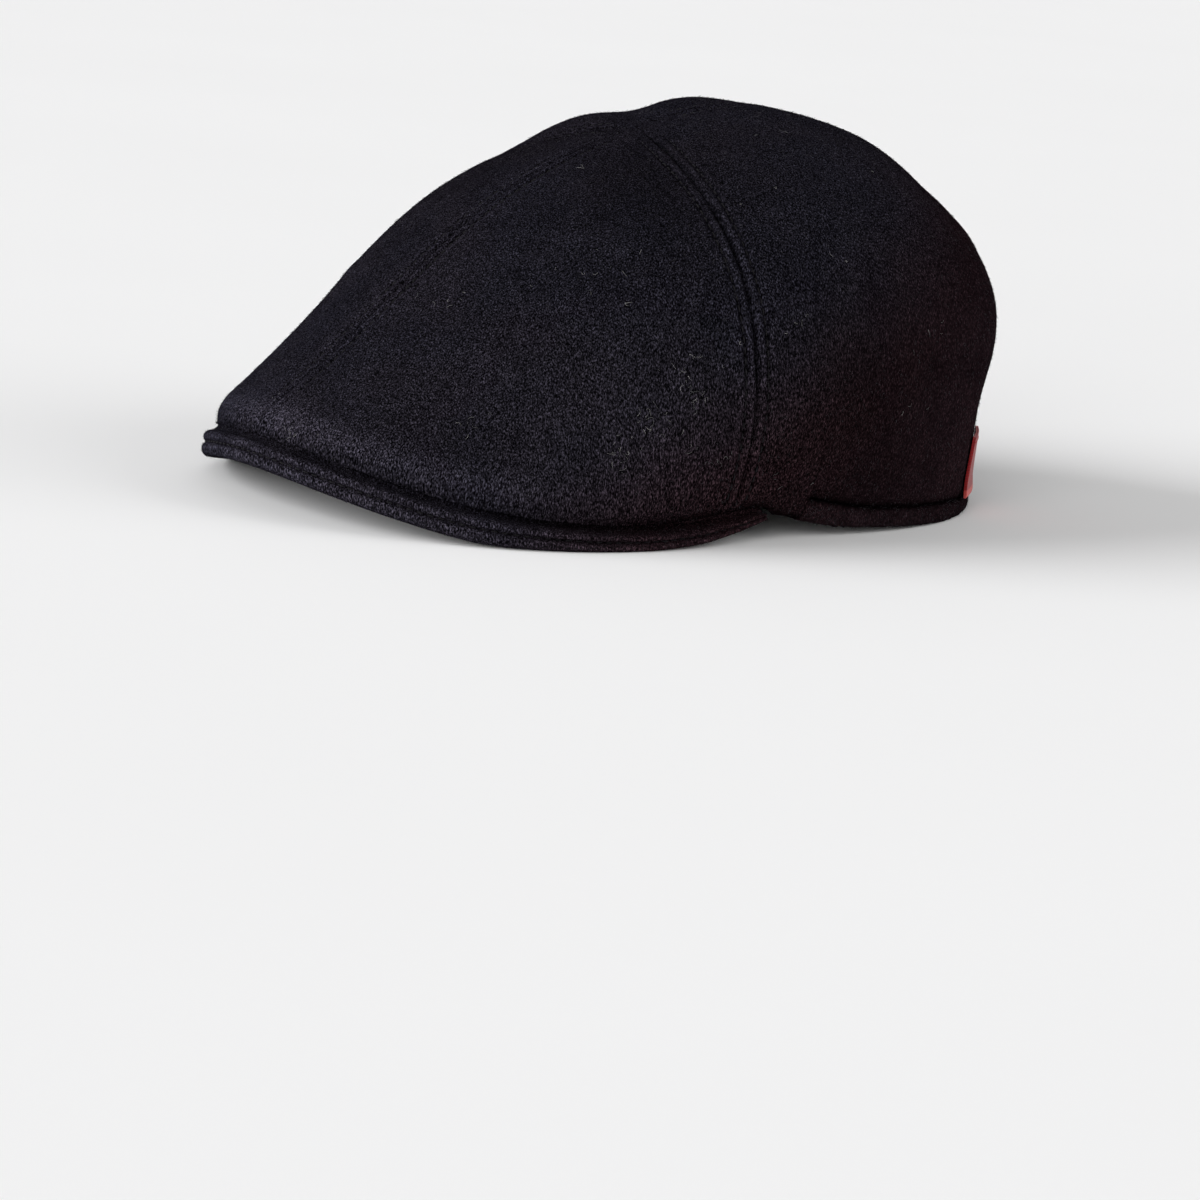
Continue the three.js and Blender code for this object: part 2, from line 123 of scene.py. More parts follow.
def basis(t):
    """The six control weights of a clamped cubic B-spline at t."""
    k = np.array([0, 0, 0, 0, 1 / 3, 2 / 3, 1, 1, 1, 1.0])
    t = np.clip(np.asarray(t, float), 0, 1 - 1e-9)
    n = [((t >= k[i]) & (t < k[i + 1])).astype(float) for i in range(9)]
    for p in (1, 2, 3):
        m = []
        for i in range(9 - p):
            a = (t - k[i]) / (k[i + p] - k[i]) * n[i] if k[i + p] > k[i] else 0.0
            b = (k[i + p + 1] - t) / (k[i + p + 1] - k[i + 1]) * n[i + 1] if k[i + p + 1] > k[i + 1] else 0.0
            m.append(a + b)
        n = m
    return np.stack(np.broadcast_arrays(*n), -1)


def controls(azimuth, rows):
    a = np.abs(turn(azimuth)) / STEP
    i = np.floor(a).astype(int)
    f = (a - i)[..., None]
    w = [(1 - f) ** 3 / 6, (3 * f ** 3 - 6 * f ** 2 + 4) / 6, (-3 * f ** 3 + 3 * f ** 2 + 3 * f + 1) / 6, f ** 3 / 6]
    last, total = len(rows) - 1, 0
    for k in range(4):
        row = np.abs(i - 1 + k)
        row = np.where(row > last, 2 * last - row, row)
        total = total + w[k] * rows[row]
    return total


def form(azimuth, t):
    azimuth, t = np.broadcast_arrays(np.asarray(azimuth, float), np.asarray(t, float))
    n = basis(t)
    r = (n[..., 1:] * controls(azimuth, ROW_R)).sum(-1)
    z = n[..., 0] * APEX_Z + (n[..., 1:] * controls(azimuth, ROW_Z)).sum(-1)
    a = np.radians(azimuth)
    p = np.stack([np.sin(a) * r, APEX_Y - np.cos(a) * r, z], -1)
    push = 0
    for az, t0, wide, long, height in FORM:
        push = push + height * bump(turn(azimuth - az), wide) * bump(t - t0, long)
    d = p - HOLLOW
    return p + d / np.linalg.norm(d, axis=-1, keepdims=True) * push[..., None]


def crown(azimuth, t):
    p = form(azimuth, t)
    p[..., 2] -= np.interp(np.abs(turn(azimuth)), DROP[:, 0], DROP[:, 1]) * smooth(0.84, 1, t)
    return p


# the cloth runs on smoothly past the temple; where its lower edge lies is a cut across it
SKIN = np.array([
    [84, 0], [88, 1.4], [90, 2.3], [92, 3.1], [95, 4.1], [98, 4.9], [102, 4.8], [107, 3.7], [112, 2.6], [118, 1.8],
    [124, 1.3], [140, 1.2], [148, 1.9], [156, 2.1], [165, 1.8], [180, 1.5]])


def skin_drop(azimuth):
    a = np.abs(turn(azimuth))
    return sum(np.interp(a + k, SKIN[:, 0], SKIN[:, 1]) for k in (-2.0, -1.0, 0.0, 1.0, 2.0)) / 5


def skin(azimuth, t):
    p = form(azimuth, t)
    p[..., 2] -= skin_drop(azimuth) * smooth(0.84, 1, t)
    return p


def cut_t(azimuth, z=None):
    """t at which the skin has the height z, the frame's lower edge if none is given."""
    azimuth = np.asarray(azimuth, float)
    z = rim(azimuth)[..., 2] if z is None else z
    lo, hi = np.full_like(azimuth, 0.6), np.ones_like(azimuth)
    for _ in range(22):
        m = (lo + hi) / 2
        up = skin(azimuth, m)[..., 2] > z
        lo, hi = np.where(up, m, lo), np.where(up, hi, m)
    return np.where(hi > 0.9999, 1.0, lo)


def unit(v):
    return v / np.maximum(np.linalg.norm(v, axis=-1, keepdims=True), 1e-9)


def crown_normal(azimuth, t):
    azimuth, t = np.broadcast_arrays(np.asarray(azimuth, float), np.asarray(t, float))
    t0 = np.clip(t, 0.01, 0.995)
    down = form(azimuth, t0 + 0.004) - form(azimuth, t0 - 0.004)
    return unit(np.cross(down, form(azimuth + 0.5, t0) - form(azimuth - 0.5, t0)))


def seam_azimuth(t):
    s = 2 * np.asarray(t, float) - 1
    return SEAM["middle"] + (SEAM["bottom"] - SEAM["top"]) / 2 * s + ((SEAM["bottom"] + SEAM["top"]) / 2 - SEAM["middle"]) * s * s


def rim(azimuth):
    return crown(azimuth, np.ones_like(np.asarray(azimuth, float)))


def rim_out(azimuth):
    azimuth = np.asarray(azimuth, float)
    d = rim(azimuth + 1) - rim(azimuth - 1)
    return unit(np.stack([d[..., 1], -d[..., 0], np.zeros_like(d[..., 0])], -1))


def arch_rise(x_inside, x_seam):
    return PEAK["arch"] * (x_seam ** 2 - x_inside ** 2)


SEAMS = {
    "front": lambda t: np.zeros_like(t), "left": seam_azimuth,
    "right": lambda t: -seam_azimuth(t), "back": lambda t: np.full_like(t, 180.0)}
SEAM_T = np.linspace(0, 1, 260)
SEAM_LINE = {k: crown(f(SEAM_T), SEAM_T) for k, f in SEAMS.items()}


def distance(p, line, reach=14.0):
    """Distance of each point to a polyline of close points, 99 where it is out of reach."""
    q = p.reshape(-1, 3)
    out = np.full(len(q), 99.0)
    inside = np.flatnonzero(((q > line.min(0) - reach) & (q < line.max(0) + reach)).all(-1))
    coarse = line[:: max(1, len(line) // 40)]
    loose = reach + np.linalg.norm(np.diff(coarse, axis=0), axis=-1).max() if len(coarse) > 1 else reach
    keep = [inside[i:i + 8000][((q[inside[i:i + 8000], None] - coarse) ** 2).sum(-1).min(1) < loose ** 2] for i in range(0, len(inside), 8000)]
    keep = np.concatenate(keep) if keep else inside
    a, d = line[:-1], line[1:] - line[:-1]
    dd = (d * d).sum(-1)
    for i in range(0, len(keep), 4000):
        c = q[keep[i:i + 4000], None]
        s = np.clip(((c - a) * d).sum(-1) / dd, 0, 1)[..., None]
        out[keep[i:i + 4000]] = np.sqrt((((c - a) - s * d) ** 2).sum(-1).min(1))
    return out.reshape(p.shape[:-1])


# ---- smooth noise made in code ------------------------------------------------------
def value_noise(p, cell, seed):
    """Smooth value noise from -1 to 1 at points p, with lattice cells of that size in mm."""
    q = np.asarray(p, float) / cell + 1000.0
    i = np.floor(q).astype(np.int64)
    f = q - i
    f = f * f * f * (f * (f * 6 - 15) + 10)
    total = 0
    for dx in (0, 1):
        for dy in (0, 1):
            for dz in (0, 1):
                h = ((i[..., 0] + dx) * 374761393 + (i[..., 1] + dy) * 668265263 + (i[..., 2] + dz) * 2147483647 + seed * 974711) & 0xFFFFFFFF
                h = ((h ^ (h >> 13)) * 1274126177) & 0xFFFFFFFF
                v = ((h ^ (h >> 16)) & 0xFFFF) / 32767.5 - 1
                w = (f[..., 0] if dx else 1 - f[..., 0]) * (f[..., 1] if dy else 1 - f[..., 1]) * (f[..., 2] if dz else 1 - f[..., 2])
                total = total + v * w
    return total


# ---- seams, topstitching and creases of the cloth, as relief along the normal (mm) ---
STITCH_OFF = 3.7          # topstitching beside each seam
# small creases of the crown: azimuth and t at both ends, width mm, height mm
CREASES = [
    (88.5, .484, 99.0, .476, 1.3, -.22), (109.5, .42, 105.5, .565, 1.6, -.20), (141.0, .55, 142.5, .72, 1.5, .28),
    (36.0, .30, 52.0, .36, 4.0, .25), (20.0, .62, 34.0, .66, 5.0, .22), (120.0, .70, 146.0, .76, 5.0, -.30),
    (-20.0, .50, -42.0, .55, 5.0, .25), (-110.0, .45, -135.0, .50, 4.0, -.30), (165.0, .50, 150.0, .46, 4.0, .25),
    (-150.0, .62, -172.0, .66, 5.0, -.25)]


def crease_relief(p, azimuth, t):
    out = 0
    for a0, t0, a1, t1, width, height in CREASES:
        line = crown(np.linspace(a0, a1, 24), np.linspace(t0, t1, 24))
        d = distance(p, line)
        out = out + height * bump(d, width)
    return out


# how strongly each seam shows, near the apex, halfway and at the lower edge
SEAM_SHOW = {"front": (1.0, 0.95, 0.40), "left": (0.62, 1.0, 0.92), "right": (0.75, 1.0, 0.9), "back": (0.6, 0.9, 0.8)}


SEAM_CUT = {"front": 0.55, "left": 1.0, "right": 1.0, "back": 0.9}


def seam_relief(d, t_len, t, show, cut, p):
    """Relief, painted shade and painted highlights beside a seam at distance d; t_len is the distance from the apex.
    """
    near_apex = smooth(5, 26, t_len)
    show = np.interp(t, (0.1, 0.45, 0.95), show) * (1 + 0.30 * value_noise(p, 9.0, 77))
    ridge = 0.42 * bump(d - 1.9, 1.0) * near_apex
    groove = cut * (-1.0 * bump(d, 0.55) - 0.20 * bump(d, 1.3)) * (0.35 + 0.65 * smooth(2, 16, t_len))
    stitch = -0.66 * bump(d - STITCH_OFF, 0.58) * near_apex
    shoulder = 0.16 * bump(d - 5.6, 1.3) * near_apex
    # painted shade in the seam's cut and the stitch holes, and painted highlights on the ridge between them and the
    # shoulder beyond
    dash = 0.62 + 0.38 * np.cos(2 * math.pi * t_len / 3.2)
    shade = (1 - 0.50 * (0.25 + 0.75 * cut) * show * bump(d, 0.62) * smooth(1, 12, t_len)) * (1 + 0.42 * show * bump(d - 1.9, 0.75) * near_apex)
    shade = shade * (1 - 0.76 * np.clip(show * 1.1, 0, 1) * dash * bump(d - STITCH_OFF, 0.60) * near_apex) * (1 + 0.22 * show * bump(d - 5.2, 0.9) * near_apex)
    return (ridge + groove + stitch + shoulder) * show, shade


def outer_relief(p, azimuth, t, seams, to_rim):
    """How far the cloth stands off its smooth form, and the painted shade and light on it there."""
    from_apex = np.linalg.norm(p - np.array([0, APEX_Y, APEX_Z]), axis=-1)
    out, shade = 0, 1.0
    for s in seams:
        a, b = seam_relief(distance(p, SEAM_LINE[s]), from_apex, t, SEAM_SHOW[s], SEAM_CUT[s], p)
        out, shade = out + a, shade * b
    side = np.abs(turn(azimuth))
    over_peak = 1 - smooth(84, 92, side)
    front = 1 - smooth(25, 66, side)
    # the cloth rolls under at its lower edge, and stands fuller just above it over the peak
    out = out - (0.95 + 0.75 * over_peak) * bump(to_rim, 1.9 + 1.0 * over_peak)
    out = out + 0.55 * over_peak * bump(to_rim - 9.5, 5.0) * (1 - smooth(40, 75, side))
    # painted shade along the lower edge, where the cloth rolls under into the join over the peak; lighter at the tip
    at_tip = bump(azimuth + 12, 18)
    shade = shade * (1 - (0.62 - 0.34 * over_peak * (1 - smooth(46, 72, side))) * (1 - 0.55 * at_tip) * bump(to_rim, 1.1 + 0.9 * over_peak))
    # painted light and shade: a paler band just above the lower edge in front, then broad patches of painted shade and
    # painted light over the crown, lighter low at the back, low on the near side, high at the back and just above the
    # tip
    shade = shade * (1 + 0.62 * front * bump(to_rim - 7.0, 4.6)) * (1 + 0.12 * front * smooth(70, 10, to_rim))
    shade = shade * (1 - 0.30 * bump(side - 60, 30) * bump(t - 0.20, 0.26)) * (1 - 0.22 * bump(side - 104, 15) * smooth(0.55, 0.70, t))
    shade = shade * (1 + 0.62 * smooth(112, 146, side) * smooth(0.55, 0.85, t)) * (1 + 0.18 * bump(side - 62, 24) * bump(t - 0.84, 0.13)) * (1 - 0.16 * bump(side - 22, 18) * bump(t - 0.84, 0.07))
    shade = shade * (1 + 0.25 * bump(side - 58, 22) * bump(t - 0.72, 0.2))
    shade = shade * (1 + 0.25 * bump(side - 128, 24) * bump(t - 0.27, 0.16)) * (1 + 0.30 * bump(side - 4, 16) * bump(t - 0.88, 0.08))
    crease = crease_relief(p, azimuth, t)
    # painted light on the raised creases and painted shade in the sunk ones
    out, shade = out + crease, shade * (1 + 0.9 * crease)
    # slow unevenness of steamed wool
    slow = 0.22 * value_noise(p, 19.0, 3) + 0.10 * value_noise(p, 8.0, 5) + 0.035 * value_noise(p, 3.1, 9)
    return out + slow, np.clip(shade * (1 + 0.10 * value_noise(p, 6.0, 13)), 0.10, 2.6)


def inner_relief(p, t, seams):
    """Seam allowances pressed open inside."""
    fade = (1 - smooth(0.80, 0.88, t)) * smooth(0.02, 0.08, t)
    out = 0
    for s in seams:
        d = distance(p, SEAM_LINE[s])
        out = out + fade * (0.75 * (1 - smooth(6.2, 7.0, d)) - 0.7 * bump(d, 0.5) - 0.3 * bump(d - STITCH_OFF, 0.5))
    return out + 0.15 * value_noise(p, 14.0, 21) * (1 - smooth(0.8, 0.9, t))


# ---- meshes -------------------------------------------------------------------------
PIECES = []


def signed_volume(points, tris):
    a, b, c = points[tris[:, 0]], points[tris[:, 1]], points[tris[:, 2]]
    return float((a * np.cross(b, c)).sum() / 6)


def make_mesh(name, points, tris, material, smooth_faces=True, turn_out=True, shade=None):
    """A mesh object from points in mm and triangles, faces turned outwards; shade is the painted shade and light at
    each point.
    """
    points, tris = np.array(points, float), np.asarray(tris, np.int32)
    points[:, 1] -= MIDDLE_Y
    points[:, 2] = np.maximum(points[:, 2], 0.02)
    if turn_out and signed_volume(points - points.mean(0), tris) < 0:
        tris = tris[:, ::-1]
    me = bpy.data.meshes.new(name)
    me.vertices.add(len(points))
    me.vertices.foreach_set("co", (points * MM).astype(np.float32).ravel())
    me.loops.add(tris.size)
    me.loops.foreach_set("vertex_index", np.ascontiguousarray(tris).ravel())
    me.polygons.add(len(tris))
    me.polygons.foreach_set("loop_start", np.arange(0, tris.size, 3, dtype=np.int32))
    me.polygons.foreach_set("use_smooth", np.full(len(tris), smooth_faces))
    me.update(calc_edges=True)
    me.validate()
    if shade is not None:
        me.attributes.new("painted_shade_and_light", "FLOAT", "POINT").data.foreach_set("value", np.asarray(shade, np.float32).ravel())
    me.materials.append(material)
    ob = bpy.data.objects.new(name, me)
    scene.collection.objects.link(ob)
    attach(ob, "root")
    PIECES.append(ob)
    return ob


def quads(a, b, c, d):
    return np.concatenate([np.stack([a, b, c], -1).reshape(-1, 3), np.stack([a, c, d], -1).reshape(-1, 3)])


def ring_join(outer, inner, k):
    """Triangles that join an edge of k*m segments to an edge of m segments."""
    tris = []
    for j in range(len(inner) - 1):
        o = outer[j * k:j * k + k + 1]
        half = (k + 1) // 2
        for i in range(k):
            if i < half:
                tris.append((inner[j], o[i], o[i + 1]))
            else:
                tris.append((inner[j + 1], o[i], o[i + 1]))
        tris.append((inner[j], o[half], inner[j + 1]))
    return np.array(tris, np.int32)


def arc_table(seam_a, seam_b, t):
    """Azimuths and running lengths along the row at each t."""
    s = np.linspace(0, 1, 361)
    az = seam_a(t)[:, None] * (1 - s) + seam_b(t)[:, None] * s
    p = crown(az, t[:, None] * np.ones_like(s))
    step = np.linalg.norm(np.diff(p, axis=1), axis=-1)
    return az, np.concatenate([np.zeros((len(t), 1)), np.cumsum(step, 1)], 1)


def row_values(seam_a, seam_b, fine, coarse, edge):
    """t of each row: evenly down the middle meridian, closer together near the lower edge."""
    t = np.linspace(0, 1, 1601)
    p = crown((seam_a(t) + seam_b(t)) / 2, t)
    run = np.concatenate([[0], np.cumsum(np.linalg.norm(np.diff(p, axis=0), axis=-1))])
    total = run[-1]
    n1, n2 = int(round((total - edge) / coarse)), int(round(edge / fine))
    n1 += (3 - (n1 + n2) % 3) % 3
    want = np.concatenate([np.linspace(0, total - edge, n1 + 1), np.linspace(total - edge, total, n2 + 1)[1:]])
    return np.interp(want, run, t)


EDGE_COLUMNS, STRIDE = 24, 3


def panel(name, node, seams, middle_columns, material):
    seam_a, seam_b = (SEAMS[s] for s in seams)
    # the rear right panel runs from the right seam (negative azimuth) back to -180
    if seams == ("right", "back"):
        seam_b = lambda t: np.full_like(t, -180.0)
    t = row_values(seam_a, seam_b, 0.42, 0.92, 9.0)
    az_table, run = arc_table(seam_a, seam_b, np.maximum(t, 1e-4))
    total = run[:, -1]
    zone = np.minimum(7.2, 0.32 * total)
    side = np.linspace(0, 1, EDGE_COLUMNS + 1)[None] * zone[:, None]
    mid = zone[:, None] + np.linspace(0, 1, middle_columns + 1)[None, 1:-1] * (total - 2 * zone)[:, None]
    want = np.concatenate([side, mid, total[:, None] - side[:, ::-1]], 1)
    # the cut edges are sewn tight together, so no light comes through a seam
    az = np.stack([np.interp(w, r, a) for w, r, a in zip(want, run, az_table)])
    tt = t[:, None] * np.ones_like(az)
    if "back" in seams:
        # two columns stand at the step where the band begins
        sign = -1 if "right" in seams else 1
        j0 = int(np.argmin(np.abs(np.abs(az[-1]) - 96.9)))
        w = smooth(0.80, 0.90, t)
        for j, target in ((j0, 96.9), (j0 + 1, 97.25)):
            az[:, j] += w * (sign * target - az[:, j])
    tt = tt - (1 - cut_t(az[-1]))[None] * smooth(0.86, 1, t)[:, None]
    base, normal = skin(az, tt), crown_normal(az, tt)
    near = 1 - smooth(0.0, 0.03, tt)[..., None]
    normal = unit(normal * (1 - near) + near * np.array([0.0, 0.0, 1.0]))
    piece = np.linalg.norm(np.diff(base, axis=0), axis=-1)
    to_rim = np.concatenate([np.cumsum(piece[::-1], 0)[::-1], np.zeros((1, az.shape[1]))])
    relief, shade = outer_relief(base, az, tt, seams, to_rim)
    outer = base + normal * relief[..., None]
    rows, cols = az.shape
    # inner side, every third row and column
    ii, jj = np.arange(0, rows, STRIDE), np.arange(0, cols, STRIDE)
    azi, ti, bi, ni = az[np.ix_(ii, jj)], tt[np.ix_(ii, jj)], base[np.ix_(ii, jj)], normal[np.ix_(ii, jj)]
    inner = bi - ni * (WALL + inner_relief(bi, ti, seams))[..., None]
    low = rim(azi)[..., 2]
    inner[..., 2] = np.where(t[ii][:, None] > 0.93, np.maximum(inner[..., 2], low), inner[..., 2])
    edge = base[-1, jj] - rim_out(azi[-1]) * WALL
    edge[:, 2] = base[-1, jj, 2] + np.where(np.abs(turn(azi[-1])) < 89, arch_rise(edge[:, 0], base[-1, jj, 0]), 0)
    inner[-1] = edge
    # the apex row is one point on each side
    o_top, i_top = outer[0].mean(0), inner[0].mean(0)
    o_grid = np.arange((rows - 1) * cols).reshape(rows - 1, cols) + 1
    n0 = 1 + (rows - 1) * cols
    ri, ci = len(ii), len(jj)
    i_grid = np.arange((ri - 1) * ci).reshape(ri - 1, ci) + n0 + 1
    points = np.concatenate([[o_top], outer[1:].reshape(-1, 3), [i_top], inner[1:].reshape(-1, 3)])
    tris = [
        quads(o_grid[:-1, :-1], o_grid[:-1, 1:], o_grid[1:, 1:], o_grid[1:, :-1]),
        np.stack([np.zeros(cols - 1, int), o_grid[0, 1:], o_grid[0, :-1]], -1),
        quads(i_grid[:-1, :-1], i_grid[1:, :-1], i_grid[1:, 1:], i_grid[:-1, 1:]),
        np.stack([np.full(ci - 1, n0), i_grid[0, :-1], i_grid[0, 1:]], -1),
    ]
    left_o, left_i = np.concatenate([[0], o_grid[:, 0]]), np.concatenate([[n0], i_grid[:, 0]])
    right_o, right_i = np.concatenate([[0], o_grid[:, -1]]), np.concatenate([[n0], i_grid[:, -1]])
    # walls of the cut edges, wound to match their neighbours
    tris.append(ring_join(left_o, left_i, STRIDE)[:, ::-1])
    tris.append(ring_join(right_o, right_i, STRIDE))
    tris.append(ring_join(o_grid[-1], i_grid[-1], STRIDE)[:, ::-1])
    tris = np.concatenate(tris)
    tris = fix_winding(tris, len(points))
    # painted shade and light on the outer side; the inner side gets an even 0.8
    painted_shading = np.concatenate([[shade[0].mean()], shade[1:].ravel(), np.full(1 + (ri - 1) * ci, 0.8)])
    ob = make_mesh(name, points, tris, material, shade=painted_shading)
    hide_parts(node)
    return {"base": base, "outer": outer, "normal": normal, "az": az, "t": tt}


def fix_winding(tris, n_points):
    """Turns triangles so that each edge is walked once in each direction."""
    edges = np.concatenate([tris[:, [0, 1]], tris[:, [1, 2]], tris[:, [2, 0]]])
    key = edges[:, 0].astype(np.int64) * n_points + edges[:, 1]
    uniq, count = np.unique(key, return_counts=True)
    if count.max() == 1:
        return tris
    # walk over neighbours
    und = np.sort(edges, axis=1)
    ukey = und[:, 0].astype(np.int64) * n_points + und[:, 1]
    order = np.argsort(ukey, kind="stable")
    m = len(tris)
    adj = [[] for _ in range(m)]
    s = ukey[order]
    i = 0
    while i < len(s) - 1:
        if s[i] == s[i + 1]:
            a, b = order[i], order[i + 1]
            same = edges[a, 0] == edges[b, 0]
            adj[a % m].append((b % m, same))
            adj[b % m].append((a % m, same))
            i += 2
        else:
            i += 1
    flip = np.full(m, -1)
    for start in range(m):
        if flip[start] >= 0:
            continue
        flip[start] = 0
        stack = [start]
        while stack:
            f = stack.pop()
            for g, same in adj[f]:
                if flip[g] < 0:
                    flip[g] = flip[f] ^ int(same)
                    stack.append(g)
    tris = tris.copy()
    tris[flip == 1] = tris[flip == 1][:, ::-1]
    return tris


# ---- materials ----------------------------------------------------------------------
def ramp(tree, stops):
    n = tree.nodes.new("ShaderNodeValToRGB")
    n.color_ramp.elements[0].position, n.color_ramp.elements[0].color = stops[0][0], (*stops[0][1], 1)
    n.color_ramp.elements[1].position, n.color_ramp.elements[1].color = stops[-1][0], (*stops[-1][1], 1)
    for p, c in stops[1:-1]:
        e = n.color_ramp.elements.new(p)
        e.color = (*c, 1)
    return n


def noise(tree, vector, scale, detail=2.0, rough=0.6, distortion=0.0):
    n = tree.nodes.new("ShaderNodeTexNoise")
    n.inputs["Scale"].default_value = scale
    n.inputs["Detail"].default_value = detail
    n.inputs["Roughness"].default_value = rough
    n.inputs["Distortion"].default_value = distortion
    tree.links.new(vector, n.inputs["Vector"])
    return n.outputs["Fac"]


def mapped(tree, scale):
    tc = tree.nodes.new("ShaderNodeTexCoord")
    m = tree.nodes.new("ShaderNodeMapping")
    m.inputs["Scale"].default_value = scale
    tree.links.new(tc.outputs["Object"], m.inputs["Vector"])
    return m.outputs["Vector"]


def math_node(tree, op, a, b):
    n = tree.nodes.new("ShaderNodeMath")
    n.operation = op
    for i, v in enumerate((a, b)):
        if isinstance(v, (int, float)):
            n.inputs[i].default_value = v
        else:
            tree.links.new(v, n.inputs[i])
    return n.outputs[0]


def mix_colour(tree, blend, factor, a, b):
    n = tree.nodes.new("ShaderNodeMix")
    n.data_type, n.blend_type = "RGBA", blend
    for socket, v in ((n.inputs[0], factor), (n.inputs[6], a), (n.inputs[7], b)):
        if isinstance(v, (int, float)):
            socket.default_value = v
        elif isinstance(v, tuple):
            socket.default_value = (*v, 1)
        else:
            tree.links.new(v, socket)
    return n.outputs[2]


def new_material(name):
    m = bpy.data.materials.new(name)
    m.use_nodes = True
    t = m.node_tree
    t.nodes.clear()
    out = t.nodes.new("ShaderNodeOutputMaterial")
    b = t.nodes.new("ShaderNodeBsdfPrincipled")
    t.links.new(b.outputs[0], out.inputs[0])
    return m, t, b


# the pile from its shadows to its palest tips, and how the shade turns from the front to the lower back
PILE = [(0.355, 0.0007), (0.45, 0.0029), (0.52, 0.0073), (0.605, 0.0165), (0.72, 0.042)]
FRONT_TINT, REAR_TINT = (0.95, 0.885, 1.22), (1.13, 0.625, 0.755)


def zone(tree, vector, axis, start, stop):
    """0 before start and 1 past stop along one axis of the piece, in metres, eased between."""
    sep = tree.nodes.new("ShaderNodeSeparateXYZ")
    tree.links.new(vector, sep.inputs[0])
    mr = tree.nodes.new("ShaderNodeMapRange")
    mr.interpolation_type = "SMOOTHSTEP"
    # the eased range runs upwards, and is turned round where start is the higher end
    lo, hi = min(start, stop), max(start, stop)
    mr.inputs["From Min"].default_value, mr.inputs["From Max"].default_value = lo, hi
    mr.inputs["To Min"].default_value, mr.inputs["To Max"].default_value = (0.0, 1.0) if start < stop else (1.0, 0.0)
    tree.links.new(sep.outputs[axis], mr.inputs["Value"])
    return mr.outputs[0]


def slant(tree, vector, fall, start, stop):
    """0 to 1 across a slanting zone: Y less fall times Z, from start to stop."""
    sep = tree.nodes.new("ShaderNodeSeparateXYZ")
    tree.links.new(vector, sep.inputs[0])
    d = math_node(tree, "SUBTRACT", sep.outputs["Y"], math_node(tree, "MULTIPLY", sep.outputs["Z"], fall))
    ease = tree.nodes.new("ShaderNodeMapRange")
    ease.interpolation_type = "SMOOTHSTEP"
    ease.inputs["From Min"].default_value, ease.inputs["From Max"].default_value = start, stop
    tree.links.new(d, ease.inputs["Value"])
    return ease.outputs[0]


def wool(name, gain=1.0, nap=0.42, bump_mm=0.25):
    """Fulled black wool: matted pile with pale tips, broad shade changes and a brushed nap running down."""
    m, t, b = new_material(name)
    fine = mapped(t, (1, 1, nap))
    even = mapped(t, (1, 1, 1))
    pile = noise(t, fine, 2450, 1.5, 0.6, 0.3)
    clump = noise(t, fine, 760, 1, 0.5)
    patch = noise(t, even, 38, 3, 0.5)
    tint = noise(t, even, 20, 2, 0.6)
    back, low = zone(t, even, "Y", -0.010, 0.045), zone(t, even, "Z", 0.100, 0.060)
    calm = math_node(t, "MULTIPLY", back, low)
    r = ramp(t, [(pos, (v * gain,) * 3) for pos, v in PILE])
    t.links.new(pile, r.inputs[0])
    shade = ramp(t, [(0.25, (0.78,) * 3), (0.75, (1.22,) * 3)])
    t.links.new(clump, shade.inputs[0])
    col = mix_colour(t, "MIX", math_node(t, "MULTIPLY", calm, 0.42), r.outputs[0], (0.0074 * gain,) * 3)
    col = mix_colour(t, "MULTIPLY", 1.0, col, shade.outputs[0])
    broad = ramp(t, [(0.3, (0.88,) * 3), (0.7, (1.12,) * 3)])
    t.links.new(patch, broad.inputs[0])
    col = mix_colour(t, "MULTIPLY", 1.0, col, broad.outputs[0])
    hue = ramp(t, [(0.40, (0.98, 1.00, 1.03)), (0.60, (1.03, 0.99, 0.98))])
    t.links.new(tint, hue.inputs[0])
    col = mix_colour(t, "MULTIPLY", 1.0, col, hue.outputs[0])
    # browner towards the lower back, bluer in front and on top
    col = mix_colour(t, "MULTIPLY", 1.0, col, mix_colour(t, "MIX", slant(t, even, 1.47, -0.112, -0.028), FRONT_TINT, REAR_TINT))
    # painted shade in seams, joins, recesses and stitch holes, painted highlights on ridges and crests, and broad
    # painted light and shade, from each piece's own values
    own = t.nodes.new("ShaderNodeAttribute")
    own.attribute_name = "painted_shade_and_light"
    col = mix_colour(t, "MULTIPLY", 1.0, col, own.outputs["Fac"])
    t.links.new(col, b.inputs["Base Color"])
    rough = t.nodes.new("ShaderNodeMapRange")
    rough.inputs["To Min"].default_value, rough.inputs["To Max"].default_value = 0.88, 1.0
    t.links.new(clump, rough.inputs["Value"])
    t.links.new(rough.outputs[0], b.inputs["Roughness"])
    height = math_node(t, "ADD", math_node(t, "MULTIPLY", pile, 0.7), math_node(t, "MULTIPLY", clump, 0.8))
    bp = t.nodes.new("ShaderNodeBump")
    bp.inputs["Strength"].default_value = 0.85
    bp.inputs["Distance"].default_value = bump_mm * MM
    t.links.new(height, bp.inputs["Height"])
    t.links.new(bp.outputs[0], b.inputs["Normal"])
    b.inputs["Specular IOR Level"].default_value = 0.0
    return m


def thread(name, colour, pale):
    m, t, b = new_material(name)
    v = mapped(t, (1, 1, 1))
    twist = noise(t, v, 2600, 2, 0.5)
    r = ramp(t, [(0.35, colour), (0.7, pale)])
    t.links.new(twist, r.inputs[0])
    t.links.new(r.outputs[0], b.inputs["Base Color"])
    bp = t.nodes.new("ShaderNodeBump")
    bp.inputs["Strength"].default_value = 0.6
    bp.inputs["Distance"].default_value = 0.06 * MM
    t.links.new(twist, bp.inputs["Height"])
    t.links.new(bp.outputs[0], b.inputs["Normal"])
    b.inputs["Roughness"].default_value = 0.75
    b.inputs["Specular IOR Level"].default_value = 0.08
    return m


